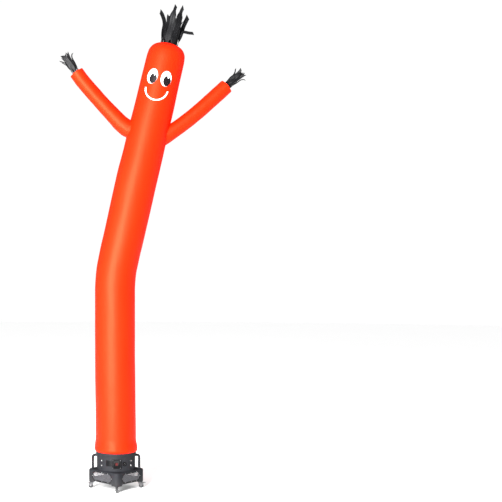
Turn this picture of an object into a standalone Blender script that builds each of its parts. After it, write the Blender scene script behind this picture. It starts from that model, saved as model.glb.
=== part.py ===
"""An inflatable air dancer standing on its blower, built as the real one is made.

The dancer is a long tube of thin coated nylon with two sewn-on arms, a plain face of
sewn-on patches, and ribbons in the vents of its head and hands. Its hem closes on the
neck of a moulded blower that rolls on four small casters.

Metres, +Z up. The floor is Z = 0, the dancer faces -Y, and the origin lies under the
middle of the whole object's box, so the blower's own axis stands at X = BLOWER_X.
"""

import math

import bmesh
import bpy
from mathutils import Matrix, Vector

# Clearances
FIT = 0.0003
CLOTH = 0.0012

# Where the blower's axis stands under the middle of the whole object's box
BLOWER_X = -0.2816

# Body tube, from the hem up: x and z of its axis from the blower's axis, outer radius
TUBE_SECTIONS = (
    (0.000, 0.2848, 0.1540),
    (0.000, 0.2885, 0.1590),
    (0.000, 0.2940, 0.1634),
    (0.000, 0.3030, 0.1652),
    (0.000, 0.3200, 0.1638),
    (-0.001, 0.3420, 0.1606),
    (-0.001, 0.3600, 0.1577),
    (-0.001, 0.3870, 0.1550),
    (-0.008, 1.1370, 0.1540),
    (-0.008, 1.5220, 0.1540),
    (-0.004, 1.5990, 0.1542),
    (0.004, 1.6760, 0.1544),
    (0.019, 1.7530, 0.1548),
    (0.035, 1.8300, 0.1555),
    (0.054, 1.9070, 0.1560),
    (0.089, 2.0610, 0.1570),
    (0.123, 2.2150, 0.1575),
    (0.162, 2.3850, 0.1575),
    (0.208, 2.5700, 0.1555),
    (0.250, 2.7540, 0.1540),
    (0.296, 2.9390, 0.1520),
    (0.339, 3.1240, 0.1490),
)
TUBE_SIDES = 28

# Head: a point on its axis, its lean, and its dome by distance along the axis
HEAD_POINT = (0.348, 0.0, 3.162)
HEAD_LEAN = math.radians(13.4)
DOME_SECTIONS = (
    (0.131, 0.1475),
    (0.185, 0.1420),
    (0.220, 0.1250),
    (0.241, 0.1010),
    (0.253, 0.0720),
)
VENT_RISE = DOME_SECTIONS[-1][0]

# Arms, from inside the body to the wrist: x, z, outer radius
LEFT_ARM_SECTIONS = (
    (0.250, 2.748, 0.0690),
    (0.110, 2.760, 0.0680),
    (0.046, 2.800, 0.0645),
    (-0.008, 2.854, 0.0610),
    (-0.068, 2.918, 0.0585),
    (-0.130, 2.986, 0.0570),
    (-0.195, 3.060, 0.0570),
    (-0.259, 3.135, 0.0565),
    (-0.304, 3.197, 0.0560),
)
RIGHT_ARM_SECTIONS = (
    (0.290, 2.6480, 0.0600),
    (0.404, 2.7235, 0.0590),
    (0.511, 2.7990, 0.0575),
    (0.627, 2.8910, 0.0570),
    (0.740, 2.9910, 0.0570),
    (0.850, 3.0910, 0.0565),
)
ARM_SIDES = 20
ARM_CORNER = (0.003, 0.0510)
HAND_VENT = (0.005, 0.0330)

# Ribbons: azimuth from the vent's right side in degrees, width, length, lean at the
# root and at the tip in degrees, and where along it the bend starts
HAIR_RING = (0.0669, 0.0706, 0.0060)
HAIR_ROOT = 0.020
HAIR_STEPS = 5
HAIR_RIBBONS = (
    (250, 0.050, 0.300, -2, 0, 0.50),
    (290, 0.050, 0.292, -1, 6, 0.60),
    (216, 0.030, 0.248, 0, 24, 0.50),
    (182, 0.030, 0.252, 1, 66, 0.40),
    (148, 0.030, 0.262, -1, 16, 0.45),
    (110, 0.050, 0.286, -2, 3, 0.50),
    (70, 0.050, 0.298, -2, 4, 0.55),
    (40, 0.022, 0.236, 0, 18, 0.50),
    (14, 0.022, 0.268, 3, 18, 0.35),
    (344, 0.026, 0.236, 1, 104, 0.36),
    (318, 0.020, 0.226, 0, 20, 0.55),
)
HAND_RING = (0.0285, 0.0320, 0.0050)
HAND_ROOT = 0.009
HAND_STEPS = 4
HAND_RIBBONS = (
    (268, 0.015, 0.156, -2, 8, 0.50),
    (228, 0.014, 0.166, -2, 32, 0.50),
    (188, 0.013, 0.150, 0, 44, 0.45),
    (150, 0.013, 0.132, 2, 50, 0.40),
    (110, 0.015, 0.160, -2, 14, 0.50),
    (70, 0.014, 0.168, -2, 18, 0.55),
    (34, 0.013, 0.152, -1, 30, 0.50),
    (352, 0.012, 0.146, 4, 62, 0.45),
    (310, 0.014, 0.164, -2, 20, 0.50),
)
RIBBON = 0.0012

# Face: turned a little on the head; places are across and up from HEAD_POINT
FACE_TURN = math.radians(7.0)
EYE_PLACES = {"left": (-0.0520, -0.0350), "right": (0.0520, -0.0350)}
WHITE_RADII = (0.0405, 0.060)
PUPIL_OFFSET = (0.009, -0.0165)
PUPIL_RADII = (0.0265, 0.0385)
NOTCH_OFFSET = (0.001, 0.036)
NOTCH_RADII = (0.009, 0.022)
SMILE_CENTRE = (0.0, -0.1225)
SMILE_RADII = (0.084, 0.088)
SMILE_STROKE = 0.013
PRISM_DEPTH = (0.06, 0.20)

# Blower's base: a square box with a corner to the front
BASE_SIDE = 0.315
BASE_LOW = 0.050
BASE_HIGH = 0.150
BASE_CORNER = 0.035
BASE_WALL = 0.005
ARCH_RISE = 0.010
ARCH_WIDTH = 0.200

# Blower's drum, lip and neck: radius and height, from the top down
BORE = 0.1435
DRUM_PROFILE = (
    (0.1485, 0.3237),
    (0.1485, 0.2840),
    (0.1535, 0.2840),
    (0.1545, 0.2825),
    (0.1545, 0.2655),
    (0.1530, 0.2640),
    (0.1475, 0.2640),
    (0.1475, 0.1540),
    (0.1520, 0.1480),
)
DRUM_SIDES = 48
DRUM_RADIUS = 0.1475
DRUM_CORE = 0.1200
ARCH_REACH = 0.340
WINDOW_EDGE = 0.002
BAND = (0.1488, 0.1515, 0.2850, 0.3225)

# Outlet ring and its guard
RING_PROFILE = (
    (0.1540, 0.3420),
    (0.1560, 0.3400),
    (0.1560, 0.3260),
    (0.1540, 0.3240),
    (0.1450, 0.3240),
    (0.1450, 0.3420),
)
GUARD_RADII = (0.104, 0.062)
GUARD_BAR = 0.005
GUARD_RING_HEIGHT = 0.0040
GUARD_BAR_HEIGHTS = (0.0030, 0.0026)
GUARD_BITE = 0.0025
GUARD_Z = 0.336
GUARD_HUB = (0.018, 0.006)
GUARD_SIDES = 20

# Grilles: the plate, its cut-out, and the mesh at twice the real pitch
GRILLE_Z = 0.103
GRILLE_SIZE = (0.206, 0.073)
GRILLE_THICK = 0.0024
POCKET_DEPTH = 0.0030
CUT_OUT = (0.190, 0.060)
MESH_PITCH = 0.0182
MESH_WIRE = 0.0031

# Handles
HANDLE_BAR = 0.010
HANDLE_REACH = 0.031
HANDLE_TOP = 0.2535
HANDLE_BEND = 0.018

# Front of the drum
PANEL_Z = 0.208
PLATE_SIDE = 0.068
PLATE_FRONT = 0.1540
FRAME_SIDE = 0.040
FRAME_RISE = 0.002
POCKET_SIZE = (0.0178, 0.0222)
POCKET_BACK = 0.1500
ROCKER_SIZE = (0.0170, 0.0194)
ROCKER_AXIS = 0.1538
ROCKER_FRONT = 0.0030
ROCKER_BACK = 0.0020
ROCKER_TILT = math.radians(8.0)
INLET_AZIMUTH = math.radians(23.2)
INLET_RADIUS = 0.015
INLET_FRONT = 0.1535
INLET_RECESS = (0.0115, 0.1500)
SEAT_DEPTH = 0.008
BOLT_AZIMUTH = math.radians(49.6)
BOLT_SPREAD = 0.036
BOLT_RADIUS = 0.005
BOLT_HEIGHT = 0.003
SLOT_SIZE = (0.024, 0.009)
SLOT_Z = 0.166

# Casters, measured from the swivel axis outward and from the floor up
CASTER_RADIUS = 0.182
CASTER_TRAIL = 0.012
WHEEL_RADIUS = 0.019
WHEEL_SIDES = 20
WHEEL_HALF = 0.007
AXLE_RADIUS = 0.003
AXLE_Z = WHEEL_RADIUS * math.cos(math.pi / WHEEL_SIDES)
FORK_TOP = (0.0400, 0.0425)
FORK_WIDTH = 0.0200
FORK_ENDS = (-0.0110, 0.0215)
HUB_RADIUS = 0.0100
HUB_TOP = 0.0464
PLATE_RADIUS = 0.0165
PLATE_LOW = 0.0467
CHEEK = (0.0085, 0.0105)
CHEEK_BACK = (-0.0105, 0.0340)
CHEEK_FRONT = (0.0290, 0.0345)
CHEEK_TOE = 0.0065
BRAKE_AXIS = (0.0260, 0.0372)
BRAKE_BARREL = 0.0022
BRAKE_HALF = 0.0010
BRAKE_LENGTH = 0.0200
BRAKE_PITCH = math.radians(12.0)

# Bearings: the front corner, the sides and the corners of the base
FRONT = math.radians(-90.0)
BASE_TURN = math.radians(45.0)
SIDE_AZIMUTHS = [BASE_TURN + math.radians(90.0 * side) for side in range(4)]
CORNER_AZIMUTHS = [FRONT + math.radians(90.0 * corner) for corner in range(4)]

# Colours: red, green, blue, roughness, metallic
FINISHES = {
    "orange_nylon": (1.0, 0.16, 0.02, 0.55, 0.0),
    "white_patch": (0.93, 0.93, 0.90, 0.55, 0.0),
    "dark_patch": (0.04, 0.03, 0.035, 0.55, 0.0),
    "black_ribbon": (0.01, 0.01, 0.012, 0.5, 0.0),
    "moulded_plastic": (0.035, 0.036, 0.038, 0.6, 0.0),
    "band_webbing": (0.01, 0.012, 0.03, 0.8, 0.0),
    "black_metal": (0.012, 0.012, 0.013, 0.5, 0.0),
    "red_switch": (0.7, 0.02, 0.01, 0.3, 0.0),
    "zinc": (0.7, 0.7, 0.7, 0.3, 1.0),
    "grey_wheel": (0.30, 0.31, 0.32, 0.5, 0.0),
}


def clear_scene():
    """Removes what the scene holds before the model is made."""
    for obj in list(bpy.context.scene.objects):
        bpy.data.objects.remove(obj, do_unlink=True)


def make_collection(name):
    """A new collection under the scene's own."""
    collection = bpy.data.collections.new(name)
    bpy.context.scene.collection.children.link(collection)
    return collection


clear_scene()
DANCER = make_collection("air_dancer_on_blower")
CUTTERS = make_collection("cutters")

AXIS = bpy.data.objects.new("blower_axis", None)
AXIS.location = (BLOWER_X, 0.0, 0.0)
DANCER.objects.link(AXIS)


def finish_material(name):
    """The Principled material of this finish, made once."""
    found = bpy.data.materials.get(name)
    if found:
        return found
    red, green, blue, roughness, metallic = FINISHES[name]
    material = bpy.data.materials.new(name)
    material.use_nodes = True
    shader = material.node_tree.nodes["Principled BSDF"]
    shader.inputs["Base Color"].default_value = (red, green, blue, 1.0)
    shader.inputs["Roughness"].default_value = roughness
    shader.inputs["Metallic"].default_value = metallic
    return material


def place(name, data, finish=None, matrix=None, parent=AXIS):
    """Adds an object to the model, or to the cutters when it has no finish."""
    obj = bpy.data.objects.new(name, data)
    obj.parent = parent
    obj.matrix_basis = matrix or Matrix()
    if finish:
        DANCER.objects.link(obj)
        if not data.materials:
            data.materials.append(finish_material(finish))
    else:
        CUTTERS.objects.link(obj)
        obj.hide_render = True
        obj.display_type = "WIRE"
    return obj


def evaluated_mesh(obj):
    """The object's mesh with its modifiers applied and its loose caps welded."""
    bpy.context.view_layer.update()
    depsgraph = bpy.context.evaluated_depsgraph_get()
    mesh = bpy.data.meshes.new_from_object(obj.evaluated_get(depsgraph))
    bm = bmesh.new()
    bm.from_mesh(mesh)
    bmesh.ops.remove_doubles(bm, verts=bm.verts, dist=0.00001)
    bm.to_mesh(mesh)
    bm.free()
    return mesh


def made_mesh(obj):
    """Puts a mesh object in the place of a curve, so that it can be cut or joined."""
    name = obj.name
    finish = obj.data.materials[0].name if obj.data.materials else None
    matrix = obj.matrix_basis.copy()
    parent = obj.parent
    mesh = evaluated_mesh(obj)
    bpy.data.objects.remove(obj, do_unlink=True)
    return place(name, mesh, finish, matrix, parent)


def boolean(obj, cutter, operation="DIFFERENCE"):
    """Adds one exact Boolean modifier."""
    modifier = obj.modifiers.new(operation.lower(), "BOOLEAN")
    modifier.operation = operation
    modifier.solver = "EXACT"
    modifier.object = cutter


def solidify(obj, thickness, offset=-1.0):
    """Gives an open surface its wall, on its inner side unless an offset is given."""
    modifier = obj.modifiers.new("wall", "SOLIDIFY")
    modifier.thickness = thickness
    modifier.offset = offset
    modifier.use_even_offset = True


def smooth(obj, angle=35.0):
    """Shades a round piece smooth, with its true edges kept."""
    obj.data.shade_smooth()
    obj.data.set_sharp_from_angle(angle=math.radians(angle))


def box_mesh(name, size, centre=(0.0, 0.0, 0.0)):
    """A cuboid from Blender's cube."""
    bm = bmesh.new()
    bmesh.ops.create_cube(bm, size=1.0)
    bmesh.ops.scale(bm, vec=size, verts=bm.verts)
    bmesh.ops.translate(bm, vec=centre, verts=bm.verts)
    mesh = bpy.data.meshes.new(name)
    bm.to_mesh(mesh)
    bm.free()
    return mesh


def disc_mesh(name, radius, depth, sides, centre=(0.0, 0.0, 0.0), top_radius=None):
    """A cylinder or cone frustum along Z from Blender's cone."""
    bm = bmesh.new()
    top = radius if top_radius is None else top_radius
    bmesh.ops.create_cone(
        bm, cap_ends=True, segments=sides, radius1=radius, radius2=top, depth=depth
    )
    bmesh.ops.translate(bm, vec=centre, verts=bm.verts)
    mesh = bpy.data.meshes.new(name)
    bm.to_mesh(mesh)
    bm.free()
    return mesh


def turned(name, profile, sides, finish=None):
    """A turned piece: a closed profile in the XZ plane with a Screw modifier."""
    bm = bmesh.new()
    verts = [bm.verts.new((radius, 0.0, height)) for radius, height in profile]
    for lower, upper in zip(verts, verts[1:]):
        bm.edges.new((lower, upper))
    bm.edges.new((verts[-1], verts[0]))
    mesh = bpy.data.meshes.new(name)
    bm.to_mesh(mesh)
    bm.free()
    obj = place(name, mesh, finish)
    screw = obj.modifiers.new("turn", "SCREW")
    screw.axis = "Z"
    screw.steps = sides
    screw.render_steps = sides
    screw.use_merge_vertices = True
    screw.merge_threshold = 0.00001
    return obj


def swept(name, sections, sides, capped, finish=None):
    """A tube through sections of x, z and radius in the XZ plane, made a mesh."""
    data = bpy.data.curves.new(name, "CURVE")
    data.dimensions = "3D"
    data.bevel_depth = 1.0
    data.bevel_resolution = (sides - 4) // 2
    data.use_fill_caps = capped
    spline = data.splines.new("POLY")
    spline.points.add(len(sections) - 1)
    for point, (x, z, radius) in zip(spline.points, sections):
        point.co = (x, 0.0, z, 1.0)
        point.radius = radius
    return made_mesh(place(name, data, finish))


def flat_outline(name, outlines, thickness, finish=None, matrix=None, parent=AXIS):
    """A flat piece: closed 2D outlines filled and extruded, the inner ones as holes."""
    data = bpy.data.curves.new(name, "CURVE")
    data.dimensions = "2D"
    data.fill_mode = "BOTH"
    data.extrude = thickness / 2.0
    for outline in outlines:
        spline = data.splines.new("POLY")
        spline.points.add(len(outline) - 1)
        spline.use_cyclic_u = True
        for point, (x, y) in zip(spline.points, outline):
            point.co = (x, y, 0.0, 1.0)
    return made_mesh(place(name, data, finish, matrix, parent))


def arc(centre, radii, start, end, steps):
    """Points along an elliptic arc between two angles in degrees, both ends included."""
    points = []
    for step in range(steps + 1):
        angle = math.radians(start + (end - start) * step / steps)
        x = centre[0] + radii[0] * math.cos(angle)
        y = centre[1] + radii[1] * math.sin(angle)
        points.append((x, y))
    return points


def along_head(rise, radius):
    """A section of the head at this rise along its axis above HEAD_POINT."""
    x = HEAD_POINT[0] + rise * math.sin(HEAD_LEAN)
    z = HEAD_POINT[2] + rise * math.cos(HEAD_LEAN)
    return x, z, radius


def tube_sections(standoff=0.0):
    """The body tube and its dome, with the surface moved out by standoff."""
    rows = list(TUBE_SECTIONS)
    rows += [along_head(rise, radius) for rise, radius in DOME_SECTIONS]
    return [(x, z, radius + standoff) for x, z, radius in rows]


def wrist(sections):
    """Where an arm ends, and the lean of its last stretch from upright."""
    (x0, z0, _), (x1, z1, _) = sections[-2:]
    return x1, z1, math.atan2(x1 - x0, z1 - z0)


def arm_sections(sections):
    """An arm with its end panel, which closes to the hand's vent."""
    x, z, lean = wrist(sections)
    ends = [
        (x + rise * math.sin(lean), z + rise * math.cos(lean), radius)
        for rise, radius in (ARM_CORNER, HAND_VENT)
    ]
    return list(sections) + ends


def make_cloth():
    """The body tube and its arms, each a thin shell, the arms let into the body."""
    body_volume = swept("body_volume", tube_sections(FIT), TUBE_SIDES, True)
    tube = swept("dancer_tube", tube_sections(), TUBE_SIDES, False, "orange_nylon")
    solidify(tube, CLOTH)
    for side, sections in (("left", LEFT_ARM_SECTIONS), ("right", RIGHT_ARM_SECTIONS)):
        arm = swept(f"{side}_arm", arm_sections(sections), ARM_SIDES, False, "orange_nylon")
        solidify(arm, CLOTH)
        boolean(arm, body_volume)
        smooth(arm)
        bore = [(x, z, radius - CLOTH) for x, z, radius in sections[:5]]
        boolean(tube, swept(f"{side}_arm_bore", bore, ARM_SIDES, True))
    smooth(tube)


def ribbon_path(length, root_lean, tip_lean, bend_start, steps):
    """Offsets outward and up along a ribbon that bends smoothly past bend_start."""
    outward, up = 0.0, 0.0
    points = [(outward, up)]
    for step in range(steps):
        along = (step + 0.5) / steps
        turned_share = max(0.0, (along - bend_start) / (1.0 - bend_start))
        lean = math.radians(root_lean + (tip_lean - root_lean) * turned_share)
        outward += length / steps * math.sin(lean)
        up += length / steps * math.cos(lean)
        points.append((outward, up))
    return points


def ribbon_mesh(bm, azimuth, radius, root, width, path):
    """Adds one flat ribbon, a grid whose rows follow the path, to the bmesh."""
    grid = bmesh.ops.create_grid(bm, x_segments=1, y_segments=len(path) - 1, size=0.5)
    outward = Vector((math.cos(azimuth), math.sin(azimuth), 0.0))
    across = Vector((-math.sin(azimuth), math.cos(azimuth), 0.0))
    for vert in grid["verts"]:
        row = round((vert.co.y + 0.5) * (len(path) - 1))
        lean, up = path[row]
        half = (root if row < 2 else width) / 2.0
        side = math.copysign(half, vert.co.x)
        vert.co = outward * (radius + lean) + across * side + Vector((0.0, 0.0, up))


def make_ribbons(name, frame, ring, root, rows, steps, sides):
    """Ribbons that stand on a narrow band just inside a vent."""
    inner, outer, half = ring
    profile = ((outer, half), (outer, -half), (inner, -half), (inner, half))
    band = turned(name, profile, sides, "black_ribbon")
    band.matrix_basis = frame
    middle = (inner + outer) / 2.0
    bm = bmesh.new()
    for azimuth, width, length, root_lean, tip_lean, bend_start in rows:
        above = ribbon_path(length, root_lean, tip_lean, bend_start, steps)
        path = [(0.0, -half * 0.6)]
        path += [(outward, up + half + 0.002) for outward, up in above]
        ribbon_mesh(bm, math.radians(azimuth), middle, root, width, path)
    mesh = bpy.data.meshes.new(f"{name}_ribbons")
    bm.to_mesh(mesh)
    bm.free()
    ribbons = place(f"{name}_ribbons", mesh, None, frame)
    solidify(ribbons, RIBBON, 0.0)
    boolean(band, ribbons, "UNION")


def make_all_ribbons():
    """The hair and the streamers of both hands."""
    x, z, _ = along_head(VENT_RISE - 0.002, 0.0)
    frame = Matrix.Translation((x, 0.0, z)) @ Matrix.Rotation(HEAD_LEAN, 4, "Y")
    make_ribbons("hair", frame, HAIR_RING, HAIR_ROOT, HAIR_RIBBONS, HAIR_STEPS, TUBE_SIDES)
    for side, sections in (("left", LEFT_ARM_SECTIONS), ("right", RIGHT_ARM_SECTIONS)):
        x, z, lean = wrist(sections)
        rise = HAND_VENT[0] - 0.001
        spot = (x + rise * math.sin(lean), 0.0, z + rise * math.cos(lean))
        frame = Matrix.Translation(spot) @ Matrix.Rotation(lean, 4, "Y")
        name = f"{side}_streamers"
        make_ribbons(name, frame, HAND_RING, HAND_ROOT, HAND_RIBBONS, HAND_STEPS, ARM_SIDES)


def face_frame():
    """Across, up and outward of the face, from HEAD_POINT."""
    across = Vector((math.cos(FACE_TURN), -math.sin(FACE_TURN), 0.0))
    up = Vector((0.0, 0.0, 1.0))
    outward = across.cross(up)
    turn = Matrix((across, up, outward)).transposed().to_4x4()
    return Matrix.Translation(HEAD_POINT) @ Matrix.Rotation(HEAD_LEAN, 4, "Y") @ turn


def oval(name, centre, radii, finish=None):
    """An oval prism that stands out of the face."""
    low, high = PRISM_DEPTH
    mesh = disc_mesh(name, 1.0, high - low, 24, (0.0, 0.0, (low + high) / 2.0))
    mesh.transform(Matrix.Diagonal((radii[0], radii[1], 1.0, 1.0)))
    mesh.transform(Matrix.Translation((centre[0], centre[1], 0.0)))
    return place(name, mesh, finish, face_frame())


def patch_stock(name, standoff):
    """Cloth lying over the whole body tube, which a patch is cut out of."""
    stock = swept(name, tube_sections(standoff + CLOTH), TUBE_SIDES, False)
    solidify(stock, CLOTH)
    return stock


def make_face():
    """Two eyes of a white and a notched pupil each, and the smile."""
    lower = patch_stock("lower_patch_stock", FIT)
    upper = patch_stock("upper_patch_stock", FIT + CLOTH + FIT)
    for side, (x, y) in EYE_PLACES.items():
        white = oval(f"{side}_eye_white", (x, y), WHITE_RADII, "white_patch")
        boolean(white, lower, "INTERSECT")
        centre = (x + PUPIL_OFFSET[0], y + PUPIL_OFFSET[1])
        pupil = oval(f"{side}_pupil", centre, PUPIL_RADII, "dark_patch")
        notch_at = (centre[0] + NOTCH_OFFSET[0], centre[1] + NOTCH_OFFSET[1])
        boolean(pupil, oval(f"{side}_notch", notch_at, NOTCH_RADII))
        boolean(pupil, upper, "INTERSECT")
    half = SMILE_STROKE / 2.0
    outside = (SMILE_RADII[0] + half, SMILE_RADII[1] + half)
    inside = (SMILE_RADII[0] - half, SMILE_RADII[1] - half)
    outline = arc(SMILE_CENTRE, outside, 180, 360, 14) + arc(SMILE_CENTRE, inside, 360, 180, 14)
    low, high = PRISM_DEPTH
    frame = face_frame() @ Matrix.Translation((0.0, 0.0, (low + high) / 2.0))
    smile = flat_outline("smile", [outline], high - low, "white_patch", frame)
    boolean(smile, lower, "INTERSECT")


def rounded_block(name, side, low, high, corner, top_round=0.0):
    """A square block with round upright edges and, if asked, a round top edge."""
    bm = bmesh.new()
    bmesh.ops.create_cube(bm, size=1.0)
    bmesh.ops.scale(bm, vec=(side, side, high - low), verts=bm.verts)
    bmesh.ops.translate(bm, vec=(0.0, 0.0, (low + high) / 2.0), verts=bm.verts)
    upright = [e for e in bm.edges if abs(e.verts[0].co.z - e.verts[1].co.z) > 0.01]
    bmesh.ops.bevel(
        bm, geom=upright, offset=corner, segments=4, profile=0.5, affect="EDGES", material=-1
    )
    if top_round:
        rim = [e for e in bm.edges if min(v.co.z for v in e.verts) > high - 0.0001]
        bmesh.ops.bevel(
            bm, geom=rim, offset=top_round, segments=2, profile=0.5, affect="EDGES", material=-1
        )
    mesh = bpy.data.meshes.new(name)
    bm.to_mesh(mesh)
    bm.free()
    return mesh


def on_wall(azimuth, distance, height):
    """A frame that faces outward: X along the wall, Y up and Z outward."""
    facing = Matrix(((0.0, 0.0, 1.0), (1.0, 0.0, 0.0), (0.0, 1.0, 0.0))).to_4x4()
    move = Matrix.Translation((distance, 0.0, height))
    return Matrix.Rotation(azimuth, 4, "Z") @ move @ facing


def stadium(size):
    """A flat outline with straight sides and round ends."""
    length, height = size
    radius = height / 2.0
    half = length / 2.0 - radius
    right = arc((half, 0.0), (radius, radius), -90, 90, 6)
    left = arc((-half, 0.0), (radius, radius), 90, 270, 6)
    return right + left


def make_housing():
    """The hollow moulding: base, drum, lip and neck in one, open at the top."""
    turn = Matrix.Rotation(BASE_TURN, 4, "Z")
    block = rounded_block("housing", BASE_SIDE, BASE_LOW, BASE_HIGH, BASE_CORNER, 0.010)
    housing = place("housing", block, "moulded_plastic", turn)
    ring = DRUM_PROFILE + ((DRUM_CORE, DRUM_PROFILE[-1][1]), (DRUM_CORE, DRUM_PROFILE[0][1]))
    boolean(housing, turned("drum_solid", ring, DRUM_SIDES), "UNION")
    floor = BASE_LOW + ARCH_RISE + BASE_WALL
    roof = BASE_HIGH - BASE_WALL
    hollow = BASE_SIDE - 2.0 * BASE_WALL
    inside = rounded_block("base_hollow", hollow, floor, roof, BASE_CORNER - BASE_WALL)
    boolean(housing, place("base_hollow", inside, None, turn))
    bore = disc_mesh("bore", BORE, 0.240, DRUM_SIDES, (0.0, 0.0, 0.220))
    boolean(housing, place("bore", bore))
    for index, size in enumerate(((ARCH_WIDTH, ARCH_REACH), (ARCH_REACH, ARCH_WIDTH))):
        arch = box_mesh(f"arch_{index}", (size[0], size[1], 2.0 * ARCH_RISE), (0, 0, BASE_LOW))
        boolean(housing, place(f"arch_{index}", arch, None, turn))
    pocket = (GRILLE_SIZE[0] + 2.0 * FIT, GRILLE_SIZE[1] + 2.0 * FIT)
    through = (CUT_OUT[0] - 2.0 * WINDOW_EDGE, CUT_OUT[1] - 2.0 * WINDOW_EDGE)
    for index, azimuth in enumerate(SIDE_AZIMUTHS):
        face = on_wall(azimuth, BASE_SIDE / 2.0 - POCKET_DEPTH + 0.010, GRILLE_Z)
        boolean(housing, flat_outline(f"pocket_{index}", [stadium(pocket)], 0.020, None, face))
        face = on_wall(azimuth, BASE_SIDE / 2.0, GRILLE_Z)
        boolean(housing, flat_outline(f"window_{index}", [stadium(through)], 0.030, None, face))
    for index, azimuth in enumerate((FRONT - BOLT_AZIMUTH, FRONT + BOLT_AZIMUTH)):
        slot = box_mesh(f"slot_{index}", (*SLOT_SIZE, 0.020))
        boolean(housing, place(slot.name, slot, None, on_wall(azimuth, DRUM_RADIUS, SLOT_Z)))
    smooth(housing)


def make_grilles():
    """Four mesh plates in the pockets of the base."""
    hole = MESH_PITCH - MESH_WIRE
    radius = CUT_OUT[1] / 2.0
    reach = CUT_OUT[0] / 2.0 - radius
    outlines = [stadium(GRILLE_SIZE)]
    for row in (-1, 0, 1):
        y = row * MESH_PITCH
        edge = abs(y) + hole / 2.0
        half_length = reach + math.sqrt(radius**2 - edge**2)
        count = int((half_length + MESH_WIRE / 2.0) / MESH_PITCH)
        for column in range(-count, count):
            x = (column + 0.5) * MESH_PITCH
            left, right = x - hole / 2.0, x + hole / 2.0
            low, high = y - hole / 2.0, y + hole / 2.0
            outlines.append(((left, low), (left, high), (right, high), (right, low)))
    seat = BASE_SIDE / 2.0 - POCKET_DEPTH + FIT + GRILLE_THICK / 2.0
    for index, azimuth in enumerate(SIDE_AZIMUTHS):
        frame = on_wall(azimuth, seat, GRILLE_Z)
        flat_outline(f"grille_{index}", outlines, GRILLE_THICK, "black_metal", frame)


def make_outlet():
    """The fastening band round the neck, and the ring with its finger guard."""
    inner, outer, low, high = BAND
    profile = ((outer, high), (outer, low), (inner, low), (inner, high))
    smooth(turned("fastening_band", profile, DRUM_SIDES, "band_webbing"))
    ring = turned("outlet_ring", RING_PROFILE, DRUM_SIDES, "moulded_plastic")
    half = GUARD_BAR / 2.0
    for index, radius in enumerate(GUARD_RADII):
        low, high = GUARD_Z - GUARD_RING_HEIGHT / 2.0, GUARD_Z + GUARD_RING_HEIGHT / 2.0
        inside, outside = radius - half, radius + half
        profile = ((outside, high), (outside, low), (inside, low), (inside, high))
        boolean(ring, turned(f"guard_ring_{index}", profile, GUARD_SIDES), "UNION")
    reach = 2.0 * (RING_PROFILE[-1][0] + GUARD_BITE)
    spot = (0.0, 0.0, GUARD_Z)
    for name, size in (
        ("guard_bar_x", (reach, GUARD_BAR, GUARD_BAR_HEIGHTS[0])),
        ("guard_bar_y", (GUARD_BAR, reach, GUARD_BAR_HEIGHTS[1])),
    ):
        boolean(ring, place(name, box_mesh(name, size, spot)), "UNION")
    hub = disc_mesh("guard_hub", GUARD_HUB[0], GUARD_HUB[1], 16, spot)
    boolean(ring, place("guard_hub", hub), "UNION")
    smooth(ring)


def make_handles():
    """Two bar handles, out from under the lip and down to the base."""
    out = DRUM_RADIUS + HANDLE_REACH
    corner = (out - HANDLE_BEND, HANDLE_TOP - HANDLE_BEND)
    route = [(DRUM_RADIUS + 0.0004, HANDLE_TOP)]
    route += arc(corner, (HANDLE_BEND, HANDLE_BEND), 90, 0, 5)
    route.append((out, BASE_HIGH + FIT))
    for name, mirror in (("handle_right", 1.0), ("handle_left", -1.0)):
        sections = [(mirror * x, z, HANDLE_BAR) for x, z in route]
        smooth(swept(name, sections, 12, True, "moulded_plastic"))


def drum_cutter():
    """The drum with its running gap, which trims what is seated on it."""
    mesh = disc_mesh("drum_cutter", DRUM_RADIUS + FIT, 0.090, DRUM_SIDES, (0, 0, PANEL_Z))
    return place("drum_cutter", mesh)


def make_switch(drum):
    """The square plate with its raised frame, and the rocker in its pocket."""
    face = on_wall(FRONT, 0.0, PANEL_Z)
    low = DRUM_RADIUS - SEAT_DEPTH
    size = (PLATE_SIDE, PLATE_SIDE, PLATE_FRONT - low)
    body = box_mesh("switch_plate", size, (0.0, 0.0, (PLATE_FRONT + low) / 2.0))
    plate = place("switch_plate", body, "black_metal", face)
    front = PLATE_FRONT + FRAME_RISE
    middle = (front + low) / 2.0
    frame = box_mesh("frame", (FRAME_SIDE, FRAME_SIDE, 2.0 * (front - middle)), (0, 0, middle))
    boolean(plate, place("frame", frame, None, face), "UNION")
    depth = 2.0 * (front - POCKET_BACK)
    pocket = box_mesh("rocker_pocket", (*POCKET_SIZE, depth), (0, 0, POCKET_BACK + depth / 2.0))
    boolean(plate, place("rocker_pocket", pocket, None, face))
    boolean(plate, drum)

    half = ROCKER_SIZE[1] / 2.0
    dish = half * math.tan(ROCKER_TILT)
    outline = (
        (ROCKER_FRONT, 0.0),
        (ROCKER_FRONT + dish, half),
        (-ROCKER_BACK, half),
        (-ROCKER_BACK, -half),
        (ROCKER_FRONT + dish, -half),
    )
    side_on = Matrix.Rotation(math.radians(90.0), 4, "X") @ Matrix.Rotation(ROCKER_TILT, 4, "Z")
    spot = Matrix.Translation((ROCKER_AXIS, 0.0, PANEL_Z))
    frame = Matrix.Rotation(FRONT, 4, "Z") @ spot @ side_on
    flat_outline("rocker", [outline], ROCKER_SIZE[0], "red_switch", frame)


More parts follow.
